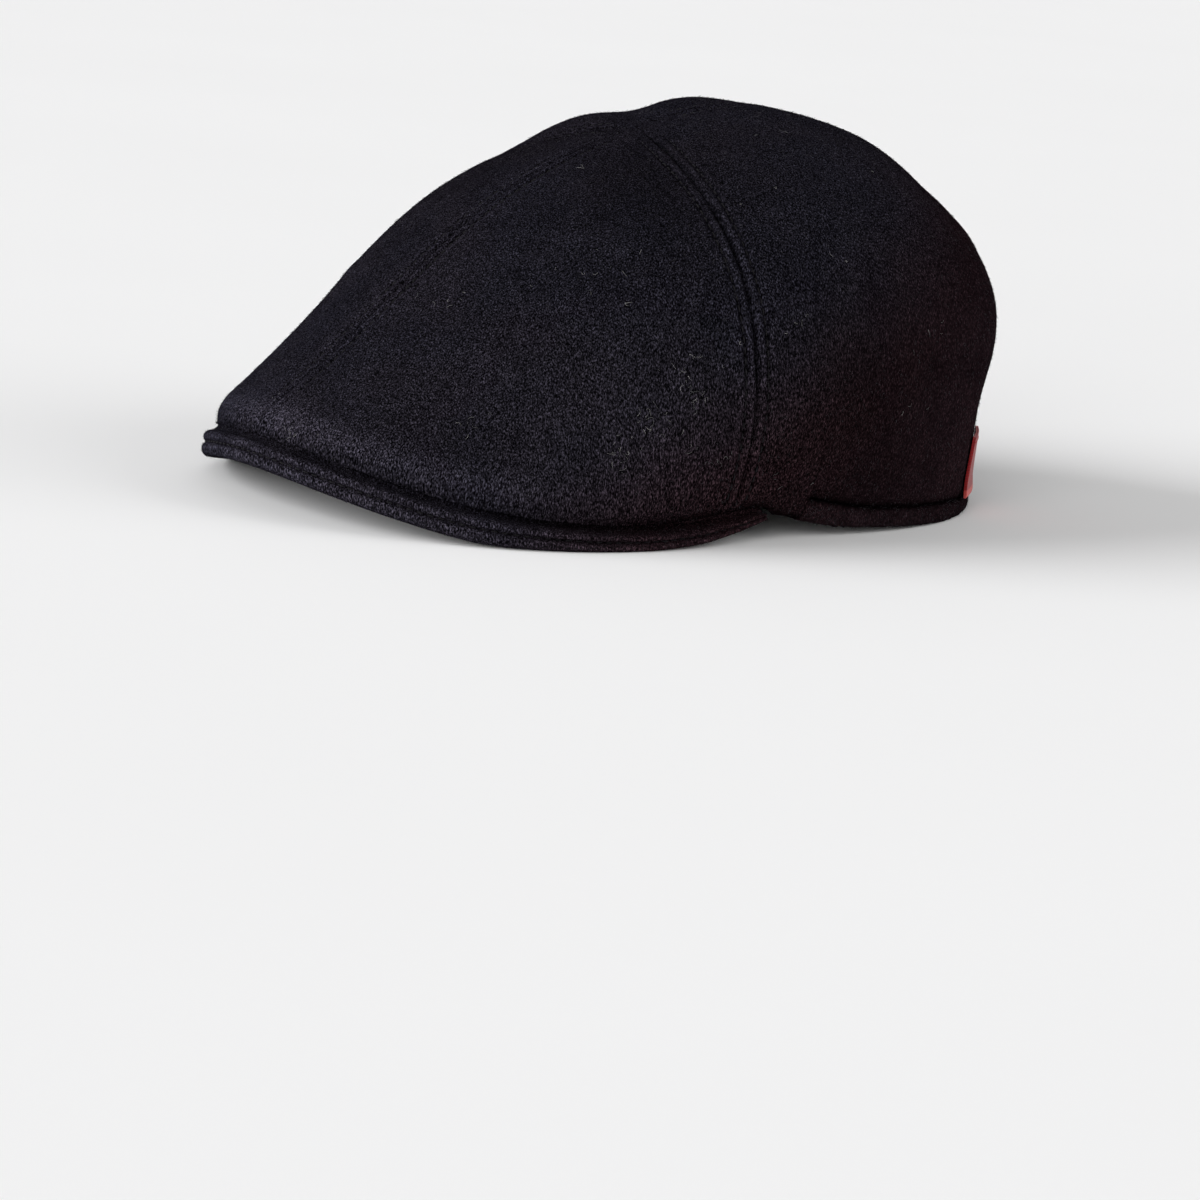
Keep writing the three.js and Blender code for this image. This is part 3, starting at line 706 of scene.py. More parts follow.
def fibre_material(name, low, high, scale=260):
    m, t, b = new_material(name)
    v = mapped(t, (1, 1, 1))
    n = noise(t, v, scale, 1, 0.5)
    r = ramp(t, [(0.35, low), (0.68, high)])
    t.links.new(n, r.inputs[0])
    t.links.new(r.outputs[0], b.inputs["Base Color"])
    b.inputs["Roughness"].default_value = 0.85
    b.inputs["Specular IOR Level"].default_value = 0.05
    return m


def tape_material(name, split_z):
    """Woven red tape: fine ribs across, paler where it is folded under at the foot."""
    m, t, b = new_material(name)
    v = mapped(t, (1, 1, 1))
    wave = t.nodes.new("ShaderNodeTexWave")
    wave.wave_type, wave.bands_direction = "BANDS", "Z"
    wave.inputs["Scale"].default_value = 620
    wave.inputs["Distortion"].default_value = 0.6
    wave.inputs["Detail"].default_value = 1
    t.links.new(v, wave.inputs["Vector"])
    weave = noise(t, v, 2200, 2, 0.5)
    r = ramp(t, [(0.2, (0.16, 0.0022, 0.0040)), (0.8, (0.36, 0.0075, 0.0100))])
    t.links.new(wave.outputs["Fac"], r.inputs[0])
    shade = ramp(t, [(0.3, (0.75, 0.75, 0.75)), (0.7, (1.2, 1.2, 1.2))])
    t.links.new(weave, shade.inputs[0])
    col = mix_colour(t, "MULTIPLY", 1.0, r.outputs[0], shade.outputs[0])
    sep = t.nodes.new("ShaderNodeSeparateXYZ")
    t.links.new(v, sep.inputs[0])
    mr = t.nodes.new("ShaderNodeMapRange")
    mr.inputs["From Min"].default_value = (split_z + 0.3) * MM
    mr.inputs["From Max"].default_value = (split_z - 0.35) * MM
    t.links.new(sep.outputs["Z"], mr.inputs["Value"])
    col = mix_colour(t, "MIX", mr.outputs[0], col, (0.50, 0.055, 0.045))
    t.links.new(col, b.inputs["Base Color"])
    h = math_node(t, "ADD", wave.outputs["Fac"], math_node(t, "MULTIPLY", weave, 0.5))
    bp = t.nodes.new("ShaderNodeBump")
    bp.inputs["Strength"].default_value = 0.7
    bp.inputs["Distance"].default_value = 0.08 * MM
    t.links.new(h, bp.inputs["Height"])
    t.links.new(bp.outputs[0], b.inputs["Normal"])
    b.inputs["Roughness"].default_value = 0.6
    b.inputs["Sheen Weight"].default_value = 0.15
    b.inputs["Specular IOR Level"].default_value = 0.3
    return m


crown_cloth = wool("crown_cloth")
peak_cloth = wool("peak_cloth", gain=1.18)
band_cloth = wool("band_cloth", gain=1.15)
black_thread = thread("black_thread", (0.0045, 0.0042, 0.005), (0.014, 0.013, 0.015))
red_thread = thread("red_thread", (0.20, 0.004, 0.006), (0.42, 0.02, 0.02))
nap_fibre = fibre_material("nap_fibre", (0.005, 0.0046, 0.006), (0.050, 0.046, 0.053))
pale_fibre = fibre_material("pale_fibre", (0.07, 0.07, 0.073), (0.34, 0.33, 0.32), 300)

# ---- crown panels -------------------------------------------------------------------
grids = {
    "front_left": panel("front_left_cloth", "front_panel_left", ("front", "left"), 141, crown_cloth),
    "front_right": panel("front_right_cloth", "front_panel_right", ("front", "right"), 141, crown_cloth),
    "rear_left": panel("rear_left_cloth", "rear_panel_left", ("left", "back"), 180, crown_cloth),
    "rear_right": panel("rear_right_cloth", "rear_panel_right", ("right", "back"), 180, crown_cloth),
}


# ---- swept bars ---------------------------------------------------------------------
def catmull(points, per, closed=False):
    """Points along a Catmull-Rom curve, per steps to each span."""
    p = np.asarray(points, float)
    n = len(p)
    out = []
    spans = n if closed else n - 1
    for i in range(spans):
        a, b, c, d = ((p[(i + k) % n] if closed else p[min(max(i + k, 0), n - 1)]) for k in (-1, 0, 1, 2))
        for s in np.arange(per) / per:
            out.append(0.5 * ((2 * b) + (c - a) * s + (2 * a - 5 * b + 4 * c - d) * s ** 2 + (3 * b - a - 3 * c + d) * s ** 3))
    if not closed:
        out.append(p[-1])
    return np.array(out)


def sweep(sections):
    """Triangles of a bar through closed sections (n, m, 3), its ends closed by fans round their middle."""
    n, m = sections.shape[:2]
    i = np.arange(n * m).reshape(n, m)
    j = np.roll(i, -1, axis=1)
    tris = [quads(i[:-1], j[:-1], j[1:], i[1:])]
    points = np.concatenate([sections.reshape(-1, 3), sections[0].mean(0)[None], sections[-1].mean(0)[None]])
    a, b = n * m, n * m + 1
    tris.append(np.stack([np.full(m, a), j[0], i[0]], -1))
    tris.append(np.stack([np.full(m, b), i[-1], j[-1]], -1))
    return points, np.concatenate(tris)


def hollow_point(p):
    angle = np.arctan2(p[..., 0] / HOLLOW_HALF[0], (HOLLOW[1] - p[..., 1]) / HOLLOW_HALF[1])
    return np.stack([HOLLOW_HALF[0] * np.sin(angle), HOLLOW[1] - HOLLOW_HALF[1] * np.cos(angle), np.zeros_like(angle)], -1)


def even_azimuths(start, stop, pitch):
    a = np.linspace(start, stop, 2400)
    p = rim(a)
    p[..., 2] = 0
    run = np.concatenate([[0], np.cumsum(np.linalg.norm(np.diff(p, axis=0), axis=-1))])
    return np.interp(np.linspace(0, run[-1], int(run[-1] / pitch) + 1), run, a)


EDGE_CURVE = catmull(PEAK_EDGE, 4)


def peak_sections(azimuth):
    a = np.abs(azimuth)
    seat, out = rim(azimuth), rim_out(azimuth)
    share, reach = (np.interp(a, PEAK_DEPTH[:, 0], PEAK_DEPTH[:, k]) for k in (1, 2))
    droop = np.interp(azimuth, PEAK_DROOP[:, 0], PEAK_DROOP[:, 1])
    taper = 1 - smooth(60, PEAK["end"], a)
    depth = hollow_point(seat) - seat
    depth[..., 2] = 0
    depth = depth * taper[:, None] + out * -4.5 * (1 - taper)[:, None]
    board = 2.2 + (PEAK["board"] - 2.2) * taper
    inward = np.where(EDGE_CURVE[:, 0] < 0, 0.40 + 0.60 * taper[:, None], 1.0)
    edge = seat[:, None] + out[:, None] * (EDGE_CURVE[:, 0] * reach[:, None] * inward)[..., None]
    edge[..., 2] = np.maximum(0.0, seat[:, None, 2] - GAP - EDGE_CURVE[:, 1] * share[:, None]
                              - droop[:, None] * smooth(0.5, 3.2, EDGE_CURVE[:, 1]))
    # the padding is a little uneven along the edge
    wob = value_noise(edge, 11.0, 31) * 0.16 + value_noise(edge, 4.2, 33) * 0.07
    edge = edge + out[:, None] * (wob * smooth(0.3, 1.6, EDGE_CURVE[:, 0]))[..., None]

    def over(f):
        p = seat[:, None] + depth[:, None] * f[None, :, None]
        p[..., 2] = seat[:, None, 2] - GAP + arch_rise(p[..., 0], seat[:, None, 0])
        return p

    f_under = np.linspace(0.3, 0.97, 14)
    under = over(f_under)
    under[..., 2] = np.maximum(0.6, under[..., 2] - board[:, None])
    mid = over(np.array([0.995]))
    mid[..., 2] = np.maximum(mid[..., 2] - board[:, None] * 0.5, 0.9)
    top = over(np.linspace(0.97, 0.3, 9))
    return np.concatenate([edge, under, mid, top], 1)


# painted shade and highlights round the peak's edge: painted shade in the recess under the crown and in the stitched
# groove, painted highlights on the two rolled crests; a value for each row of PEAK_EDGE
PEAK_PAINTED_SHADING = np.array([.55, .5, .5, .6, .85, 1.3, 1.7, 1.4, .60, .60, 1.4, 1.9, 1.7, 1.4, 1.1, .9, .8, .75])


peak_az = even_azimuths(-PEAK["end"], PEAK["end"], 0.75)
peak_sec = peak_sections(peak_az)
pp, pt = sweep(peak_sec)
edge_n = len(EDGE_CURVE)
painted_shading = np.full(peak_sec.shape[:2], 0.75)
# the painted highlights on the crests weaken towards the peak's ends, and painted light is added near the tip
strength = np.interp(np.abs(peak_az), (0, 40, 70, 87), (1.0, 0.8, 0.55, 0.5))[:, None]
edge_painted_shading = np.interp(np.arange(edge_n) / 4, np.arange(len(PEAK_EDGE)), PEAK_PAINTED_SHADING)[None]
painted_shading[:, :edge_n] = np.where(edge_painted_shading > 1, 1 + (edge_painted_shading - 1) * strength, edge_painted_shading)
painted_shading[:, :edge_n] += (0.35 * bump(peak_az + 12, 18))[:, None] * np.clip(0.9 - painted_shading[:, :edge_n], 0, 1)
painted_shading[:, :edge_n] *= 1 + 0.16 * value_noise(peak_sec[:, :edge_n], 5.0, 51)
peak_ob = make_mesh("peak_cloth_cover", pp, pt, peak_cloth, shade=np.concatenate([painted_shading.ravel(), [0.8, 0.8]]))
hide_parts("peak")


def t_at_height(azimuth, z):
    lo, hi = np.full_like(azimuth, 0.6), np.ones_like(azimuth)
    for _ in range(24):
        m = (lo + hi) / 2
        up = crown(azimuth, m)[..., 2] > z
        lo, hi = np.where(up, m, lo), np.where(up, hi, m)
    return lo


def band_sections(azimuth):
    a = np.where(azimuth > 180, 360 - azimuth, azimuth)
    cad_seat, out = rim(azimuth), rim_out(azimuth)
    seat = skin(azimuth, cut_t(azimuth))
    seat[:, 2] = cad_seat[:, 2]
    top, floor = seat[:, 2] - GAP, np.interp(a, BAND_FOOT[:, 0], BAND_FOOT[:, 1])
    full = smooth(BAND["start"], BAND["start"] + 12, a)
    # the strip carries on the line of the cloth above it
    end = skin(azimuth, np.ones_like(a))
    fall = np.maximum(seat[:, 2] - end[:, 2], 0)
    slope = np.where(fall > 0.3, ((seat - end) * out).sum(-1) / np.maximum(fall, 2.0), 0)

    def at(o, z):
        p = seat + out * (np.broadcast_to(o, a.shape) - slope * np.minimum(np.maximum(top - z, 0), fall))[:, None]
        p[:, 2] = z
        return p

    mix = lambda f: top + (floor - top) * f
    strip = np.stack([
        at(-1.0, top), at(-0.35, mix(0.04)), at(0.35, mix(0.22)), at(0.65, mix(0.48)), at(0.6, mix(0.74)), at(0.2, mix(0.93)),
        at(-0.6, floor), at(-2.9, floor), at(-3.5, mix(0.85)), at(-BAND["thick"] - 0.5, mix(0.5))], 1)
    strip = np.stack([catmull(s, 3) for s in strip])
    strip[..., 2] = np.maximum(strip[..., 2], floor[:, None])
    ragged = value_noise(strip, 2.4, 41) * 0.22 + value_noise(strip, 7.0, 43) * 0.18
    strip = strip + out[:, None] * ragged[..., None]
    lift = np.clip(value_noise(strip, 1.9, 47), 0, 1) * 0.35 * (1 - smooth(0.2, 1.6, strip[..., 2] - floor[:, None]))
    strip[..., 2] += lift
    rise = BAND["tongue"] * (0.3 + 0.7 * full)
    near = WALL + GAP + 0.3 + 0.8 * (1 - full)

    def cad_at(o, z):
        p = cad_seat + out * np.broadcast_to(o, a.shape)[:, None]
        p[:, 2] = z
        return p

    def inset(z, d):
        t = t_at_height(azimuth, z)
        return crown(azimuth, t) - crown_normal(azimuth, t) * np.broadcast_to(d, a.shape)[:, None]

    tongue = np.stack([
        inset(seat[:, 2] + rise * 0.5, near + BAND["tongue_thick"]), inset(seat[:, 2] + rise * 0.96, near + BAND["tongue_thick"]),
        inset(seat[:, 2] + rise, near + BAND["tongue_thick"] * 0.5), inset(seat[:, 2] + rise * 0.96, near), inset(seat[:, 2] + rise * 0.5, near),
        cad_at(-(WALL + GAP + 0.2 + 0.5 * (1 - full)), seat[:, 2] + 0.4), cad_at(-(WALL + GAP + 0.2 + 0.5 * (1 - full)), top)], 1)
    return np.concatenate([strip, tongue], 1)


band_az = even_azimuths(BAND["start"] + 0.08, 360 - BAND["start"] - 0.08, 0.8)
band_sec = band_sections(band_az)
bp_, bt_ = sweep(band_sec)
# painted shade round the band's section, from its top outer edge to its foot, then inside: deepest in the join under
# the crown's edge, lighter down its face, darker again at its foot and inside
BAND_PAINTED_SHADING = np.array([.14, .22, .95, 1.1, 1.0, .95, .85, .7, .7, .5])
painted_shading = np.full(band_sec.shape[:2], 0.7)
n_strip = 9 * 3 + 1
painted_shading[:, :n_strip] = np.interp(np.arange(n_strip) / 3, np.arange(10), BAND_PAINTED_SHADING)
ends = np.minimum(band_az - BAND["start"], 360 - BAND["start"] - band_az)[:, None]
# painted shade at both ends of the band, in the joins where it starts
painted_shading[:, :7] *= 1 - 0.5 * bump(ends, 1.6)
painted_shading[:, :n_strip] *= 1 + 0.14 * value_noise(band_sec[:, :n_strip], 5.0, 53)
band_ob = make_mesh("rear_band_fold", bp_, bt_, band_cloth, shade=np.concatenate([painted_shading.ravel(), [0.6, 0.6]]))
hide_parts("rear_band")


# ---- tab: a folded tape lying on the near rear panel --------------------------------
def tab_piece():
    low = float(rim(np.array([TAB["azimuth"]]))[0, 2]) + TAB["rise"]
    thick, gap = TAB["tape"], TAB["fold"]
    across = np.linspace(-0.5, 0.5, 49)
    # path of the tape's middle line in (height above the foot, distance off the panel)
    h = TAB["height"]
    near_d, far_d = thick / 2, thick * 1.5 + gap
    up_n = np.linspace(h, 0.55, 26)
    arc = np.linspace(0, math.pi, 9)[1:-1]
    r = (far_d - near_d) / 2
    path = [(z, near_d) for z in up_n] + [(0.55 - r * math.sin(x), near_d + r - r * math.cos(x)) for x in arc] + [(z, far_d) for z in up_n[::-1]]
    path = np.array(path)
    tangent = unit(np.gradient(path, axis=0))
    side = np.stack([-tangent[:, 1], tangent[:, 0]], -1)
    a, b = path + side * thick / 2, path - side * thick / 2
    ring = np.concatenate([a, b[::-1]])                      # closed section of the folded tape

    zs = np.linspace(-1.5, h + 1.0, 60)
    az_of, t_of = [], []
    for z in zs:
        azimuth = np.full(len(across), TAB["azimuth"])
        t = t_at_height(azimuth, low + z)
        for _ in range(3):
            mid = np.full(1, TAB["azimuth"])
            tm = t_at_height(mid, low + z)
            per = np.linalg.norm(crown(mid + 0.5, tm) - crown(mid - 0.5, tm))
            azimuth = TAB["azimuth"] + across * TAB["width"] / per
            t = t_at_height(azimuth, low + z)
        az_of.append(azimuth)
        t_of.append(t)
    az_of, t_of = np.array(az_of), np.array(t_of)
    surf, nor = crown(az_of, t_of), crown_normal(az_of, t_of)
    sections = []
    for j in range(len(across)):
        s = np.stack([np.interp(ring[:, 0], zs, surf[:, j, k]) for k in range(3)], -1)
        n = unit(np.stack([np.interp(ring[:, 0], zs, nor[:, j, k]) for k in range(3)], -1))
        curl = 0.25 * (2 * across[j]) ** 4 + 0.35 * smooth(6.0, 0.0, ring[:, 0])
        sections.append(s + n * (ring[:, 1] + TAB["lift"] + curl)[:, None])
    points, tris = sweep(np.array(sections))
    ob = make_mesh("tab_tape", points, tris, tape_material("tab_tape_weave", low + 2.6))
    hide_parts("label_tab")
    return low, surf, nor, zs, across


tab_low, tab_surf, tab_nor, tab_zs, tab_across = tab_piece()


# ---- stitches: short bent threads lying in their grooves ----------------------------
def stitches(name, paths, material, pitch=3.2, length=2.35, radius=0.21, arch=0.16, sides=6, rings=5):
    """paths: list of (points, normals). Each stitch dips into the cloth at both ends."""
    all_points, all_tris, n0 = [], [], 0
    for line, normals in paths:
        run = np.concatenate([[0], np.cumsum(np.linalg.norm(np.diff(line, axis=0), axis=-1))])
        for k in range(int(run[-1] / pitch)):
            s = k * pitch + (pitch - length) / 2 + np.linspace(0, length, rings)
            p = np.stack([np.interp(s, run, line[:, c]) for c in range(3)], -1)
            n = unit(np.stack([np.interp(s, run, normals[:, c]) for c in range(3)], -1))
            u = np.linspace(-1, 1, rings)
            p = p + n * (arch * (1 - u ** 2) - 0.30 * np.abs(u) ** 6)[:, None]
            tan = unit(np.gradient(p, axis=0))
            b = unit(np.cross(tan, n))
            nn = np.cross(b, tan)
            rad = radius * (1 - 0.35 * np.abs(u) ** 4)
            ang = np.linspace(0, 2 * math.pi, sides, endpoint=False)
            ring = p[:, None] + rad[:, None, None] * (np.cos(ang)[None, :, None] * b[:, None] + np.sin(ang)[None, :, None] * nn[:, None])
            points, tris = sweep(ring)
            if signed_volume(points - points.mean(0), tris) < 0:
                tris = tris[:, ::-1]
            all_points.append(points)
            all_tris.append(tris + n0)
            n0 += len(points)
    return make_mesh(name, np.concatenate(all_points), np.concatenate(all_tris), material, turn_out=False)


def line_beside(grid, first, start_mm, end_mm):
    """Topstitching line on a panel, beside its first or last seam."""
    base, az, t = grid["base"], grid["az"], grid["t"]
    rows = np.arange(8, base.shape[0])
    line, nor = [], []
    step = 1 if first else -1
    for i in rows:
        edge = base[i] if first else base[i][::-1]
        nrm = grid["normal"][i] if first else grid["normal"][i][::-1]
        run = np.concatenate([[0], np.cumsum(np.linalg.norm(np.diff(edge[:60], axis=0), axis=-1))])
        if run[-1] < STITCH_OFF:
            continue
        line.append([np.interp(STITCH_OFF, run, edge[:60, c]) for c in range(3)])
        nor.append([np.interp(STITCH_OFF, run, nrm[:60, c]) for c in range(3)])
    line, nor = np.array(line), unit(np.array(nor))
    run = np.concatenate([[0], np.cumsum(np.linalg.norm(np.diff(line, axis=0), axis=-1))])
    keep = (run > start_mm) & (run < run[-1] - end_mm)
    line, nor = line[keep], nor[keep]
    return line - nor * 0.46, nor


seam_paths = []
for key, first in (("front_left", True), ("front_left", False), ("front_right", True), ("front_right", False),
                   ("rear_left", True), ("rear_left", False), ("rear_right", True), ("rear_right", False)):
    seam_paths.append(line_beside(grids[key], first, 6, 4))
stitches("seam_topstitch", seam_paths, black_thread)

# the row that quilts the peak's edge
groove = int(np.argmin(np.abs(EDGE_CURVE[:, 1] - 5.1)))
peak_line = peak_sec[:, groove]
peak_nor = unit(rim_out(peak_az) + np.array([0, 0, 0.1]))
keep = np.abs(peak_az) < 84
stitches("peak_edge_stitch", [(peak_line[keep] + peak_nor[keep] * 0.02, peak_nor[keep])], black_thread, radius=0.2, arch=0.1)

# red thread across the top of the tab
zi = TAB["height"] - 2.0
tab_line = np.stack([[np.interp(zi, tab_zs, tab_surf[:, j, c]) for c in range(3)] for j in range(2, 47)])
tab_normal = unit(np.stack([[np.interp(zi, tab_zs, tab_nor[:, j, c]) for c in range(3)] for j in range(2, 47)]))
curl = 0.25 * (2 * tab_across[2:47]) ** 4
tab_line = tab_line + tab_normal * (TAB["lift"] + 2 * TAB["tape"] + TAB["fold"] + curl - 0.03)[:, None]
stitches("tab_stitch", [(tab_line, tab_normal)], red_thread, pitch=2.2, length=1.6, radius=0.14, arch=0.10)


# ---- wool fibres and lint -----------------------------------------------------------
def fibre_mesh(name, roots, normals, along, rng, material, length, radius, tilt, spread=1.0, curl=0.35):
    """Bent needles: a sunk three-sided root, a middle ring and a tip, each a closed body."""
    n = len(roots)
    normals, along = unit(normals), unit(along - (along * normals).sum(-1, keepdims=True) * normals)
    across = np.cross(normals, along)
    turn_ = rng.normal(0, spread, n)[:, None]
    flat = along * np.cos(turn_) + across * np.sin(turn_)
    lean = rng.uniform(*tilt, n)[:, None]
    first = unit(flat * np.cos(lean) + normals * np.sin(lean))
    bend = rng.normal(0, curl, n)[:, None]
    side = np.cross(normals, flat)
    second = unit(first * np.cos(bend) + side * np.sin(bend) - normals * rng.uniform(0.05, 0.45, n)[:, None])
    size = rng.uniform(*length, n)[:, None]
    rad = rng.uniform(*radius, n)[:, None]
    base = roots - normals * 0.12
    mid = roots + first * size * 0.5
    tip = mid + second * size * 0.5
    u = unit(np.cross(first, normals + flat * 0.3))
    w = np.cross(first, u)
    pts = []
    for centre, k in ((base, 1.0), (mid, 0.8)):
        for q in (0, 2.0944, 4.1888):
            pts.append(centre + rad * k * (u * math.cos(q) + w * math.sin(q)))
    pts.append(tip)
    points = np.stack(pts, 1)                       # n, 7, 3
    points = points[points[..., 2].min(1) > 0.05]   # none reaches below the floor
    n = len(points)
    f = np.array([[0, 2, 1], [0, 1, 4], [0, 4, 3], [1, 2, 5], [1, 5, 4], [2, 0, 3], [2, 3, 5], [3, 4, 6], [4, 5, 6], [5, 3, 6]])
    p0 = points[0]
    if signed_volume(p0 - p0.mean(0), f) < 0:
        f = f[:, ::-1]
    tris = (f[None] + (np.arange(n) * 7)[:, None, None]).reshape(-1, 3)
    return make_mesh(name, points.reshape(-1, 3), tris, material, turn_out=False)


def scatter(points, normals, along, count, rng, weight=None):
    """Random places on a grid of points, even over its area."""
    a, b, c, d = points[:-1, :-1], points[:-1, 1:], points[1:, 1:], points[1:, :-1]
    size = np.linalg.norm(np.cross(c - a, d - b), axis=-1) / 2
    if weight is not None:
        size = size * weight[:-1, :-1]
    run = np.cumsum(size.ravel())
    pick = np.searchsorted(run, rng.uniform(0, run[-1], count))
    i, j = np.unravel_index(np.minimum(pick, size.size - 1), size.shape)
    s, r = rng.uniform(0, 1, (2, count, 1))
    p = (points[i, j] * (1 - s) + points[i, j + 1] * s) * (1 - r) + (points[i + 1, j] * (1 - s) + points[i + 1, j + 1] * s) * r
    return p, normals[i, j], along[i, j]


rng = np.random.default_rng(20)
for key, count in (("front_left", 5600), ("front_right", 5600), ("rear_left", 8200), ("rear_right", 8200)):
    g = grids[key]
    down = np.gradient(g["base"], axis=0)
    sel = slice(3, None)
    roots, nor, along = scatter(g["outer"][sel], g["normal"][sel], down[sel], count, rng)
    fibre_mesh("nap_" + key, roots, nor, along, rng, nap_fibre, (0.7, 1.7), (0.028, 0.05), (0.10, 0.50), 0.9)

edge_pts = peak_sec[:, :edge_n]
edge_nor = unit(np.cross(np.gradient(edge_pts, axis=0), np.gradient(edge_pts, axis=1)))
if (edge_nor[:, edge_n // 2] * rim_out(peak_az)).sum() < 0:
    edge_nor = -edge_nor
roots, nor, along = scatter(edge_pts, edge_nor, np.gradient(edge_pts, axis=0), 3400, rng)
fibre_mesh("nap_peak", roots, nor, along, rng, nap_fibre, (0.6, 1.3), (0.028, 0.045), (0.12, 0.6), 1.2)
strip_pts = band_sec[:, :20]
strip_nor = unit(np.cross(np.gradient(strip_pts, axis=0), np.gradient(strip_pts, axis=1)))
if (strip_nor[:, 8] * rim_out(band_az)).sum() < 0:
    strip_nor = -strip_nor
roots, nor, along = scatter(strip_pts, strip_nor, np.gradient(strip_pts, axis=1), 3400, rng)
keep = roots[:, 2] > 0.9
fibre_mesh("nap_band", roots[keep], nor[keep], along[keep], rng, nap_fibre, (0.6, 1.4), (0.028, 0.045), (0.12, 0.6), 1.0)

# paler lint: azimuth, t, how many, spread in mm
LINT = [
    (1.5, .894, 3, 1.2), (6.5, .953, 3, 1.4), (7.5, .959, 2, 1.0), (-2, .846, 2, .8), (-1, .846, 2, .8), (24.5, .123, 2, .8),
    (84, .276, 1, .4), (56, .355, 1, .3), (53, .48, 2, .7), (66.5, .668, 4, 2.0), (67.5, .69, 5, 2.2), (69, .702, 3, 1.4),
    (67.5, .715, 3, 1.2), (97, .26, 1, .4), (133, .278, 1, .4), (132, .157, 2, .5), (67.5, .815, 3, 1.6), (72.5, .852, 4, 2.0),
    (75.5, .831, 3, 1.2), (86.5, .894, 2, 1.0), (89, .92, 1, .6), (96.5, .912, 1, .6), (120.5, .133, 1, .5), (60, .75, 18, 8.0),
    (55, .82, 14, 7.0), (30, .80, 6, 8.0), (101.5, .442, 2, 3.0), (77.3, .583, 3, .8), (-35, .6, 5, 9.0), (-100, .5, 5, 12.0),
    (150, .5, 4, 12.0), (-150, .6, 5, 12.0), (15, .5, 6, 14.0), (45, .4, 8, 16.0), (66, .62, 11, 6.0), (10, .9, 5, 8.0), (92, .55, 4, 8.0), (118, .78, 3, 9.0), (120, .6, 4, 12.0), (180, .4, 4, 12.0)]


def hairs(name, roots, normals, material, rng, length, radius, curl, rings=7):
    """Thin curved hairs lying on the cloth, each a closed three-sided tube."""
    all_points, all_tris, n0 = [], [], 0
    for p0, n in zip(roots, normals):
        a = unit(np.cross(n, rng.normal(0, 1, 3)))
        b = np.cross(n, a)
        size, bend, swing = rng.uniform(*length), rng.normal(0, curl), rng.normal(0, curl * 0.6)
        s = np.linspace(0, 1, rings)
        ang = bend * s * 2 + swing * np.sin(s * 5)
        step = np.cos(ang)[:, None] * a + np.sin(ang)[:, None] * b
        line = p0 + np.cumsum(step, 0) * size / rings + n * (0.10 + 0.22 * np.sin(math.pi * s) * rng.uniform(0.2, 1.2))[:, None]
        tan = unit(np.gradient(line, axis=0))
        u = unit(np.cross(tan, n))
        w = np.cross(u, tan)
        rad = rng.uniform(*radius) * (1 - 0.5 * s)
        q = np.array([0, 2.0944, 4.1888])
        ring = line[:, None] + rad[:, None, None] * (np.cos(q)[None, :, None] * u[:, None] + np.sin(q)[None, :, None] * w[:, None])
        points, tris = sweep(ring)
        if signed_volume(points - points.mean(0), tris) < 0:
            tris = tris[:, ::-1]
        all_points.append(points)
        all_tris.append(tris + n0)
        n0 += len(points)
    return make_mesh(name, np.concatenate(all_points), np.concatenate(all_tris), material, turn_out=False)


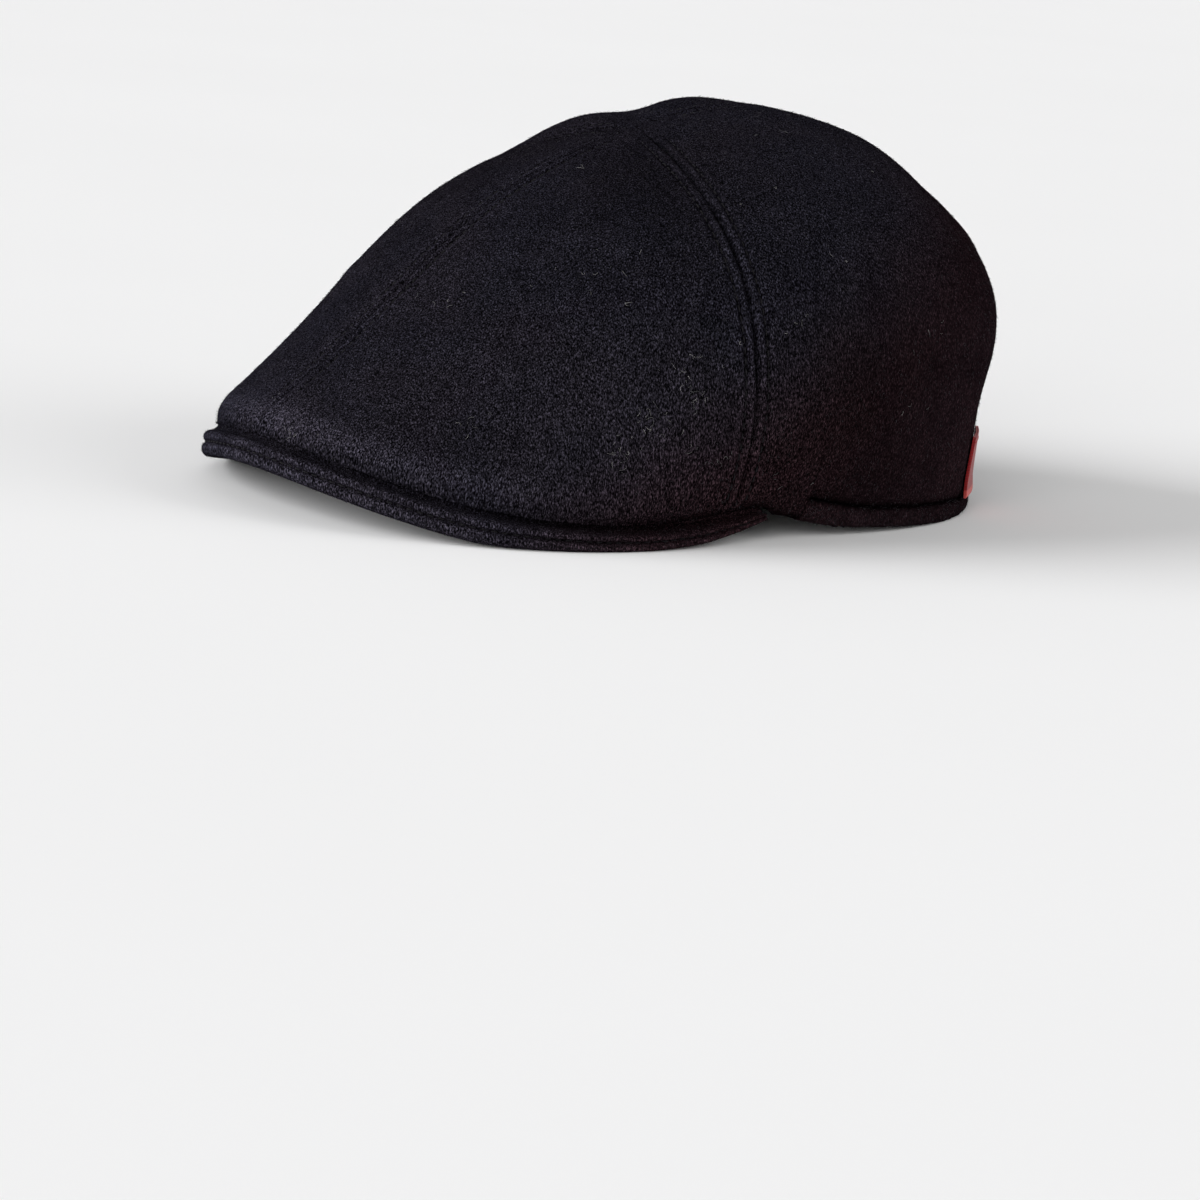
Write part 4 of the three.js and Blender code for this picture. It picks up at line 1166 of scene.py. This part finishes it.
def lint():
    az, t = [], []
    for a0, t0, count, wide in LINT:
        a = np.full(count, a0, float)
        per = np.linalg.norm(crown(a + .5, np.full(count, t0)) - crown(a - .5, np.full(count, t0)), axis=-1)
        az.append(a + rng.normal(0, wide / 2, count) / np.maximum(per, 0.3))
        t.append(np.clip(t0 + rng.normal(0, wide / 2, count) / 190, 0.03, 0.965))
    az, t = np.concatenate(az), np.concatenate(t)
    p, n = skin(az, t), crown_normal(az, t)
    r = outer_relief(p, az, t, ("front", "left", "right", "back"), np.full(len(t), 40.0))[0]
    hairs("lint_hairs", p + n * r[:, None], n, pale_fibre, rng, (1.0, 3.6), (0.034, 0.062), 0.8)


lint()


# ---- floor, light -------------------------------------------------------------------
def floor():
    me = bpy.data.meshes.new("floor")
    n, r = 96, 14.0
    pts = [(0, 0, 0)] + [(r * math.cos(2 * math.pi * i / n), r * math.sin(2 * math.pi * i / n), 0) for i in range(n)]
    me.from_pydata(pts, [], [(0, 1 + i, 1 + (i + 1) % n) for i in range(n)])
    ob = bpy.data.objects.new("floor", me)
    m, t, b = new_material("floor_paper")
    v = mapped(t, (1, 1, 1))
    grain = noise(t, v, 3.0, 2, 0.5)
    r_ = ramp(t, [(0.3, (0.895, 0.895, 0.895)), (0.7, (0.905, 0.905, 0.905))])
    t.links.new(grain, r_.inputs[0])
    t.links.new(r_.outputs[0], b.inputs["Base Color"])
    b.inputs["Roughness"].default_value = 0.9
    b.inputs["Specular IOR Level"].default_value = 0.1
    me.materials.append(m)
    scene.collection.objects.link(ob)


floor()


def soft_light(name, azimuth, elevation, spread, strength, colour):
    """A large soft light far away, spread degrees wide."""
    data = bpy.data.lights.new(name, "SUN")
    data.energy, data.angle, data.color = strength, math.radians(spread), colour
    ob = bpy.data.objects.new(name, data)
    a, e = math.radians(azimuth), math.radians(elevation)
    d = Vector((math.sin(a) * math.cos(e), -math.cos(a) * math.cos(e), math.sin(e)))
    ob.location = d * 3
    ob.rotation_mode = "QUATERNION"
    ob.rotation_quaternion = d.to_track_quat("Z", "Y")
    scene.collection.objects.link(ob)


world = bpy.data.worlds.new("studio")
scene.world = world
world.use_nodes = True
bg = world.node_tree.nodes["Background"]
bg.inputs[0].default_value = (0.995, 0.995, 1.0, 1)
bg.inputs[1].default_value = 0.335
soft_light("key_soft", -25, 20, 44, 3.3, (0.99, 0.99, 1.0))
soft_light("fill_soft", 40, 15, 44, 2.0, (1.0, 0.995, 0.99))
soft_light("back_soft", 140, 24, 44, 1.0, (1.0, 0.995, 0.99))

scene.view_settings.view_transform = "Standard"
scene.view_settings.look = "None"
scene.view_settings.exposure = 0.0
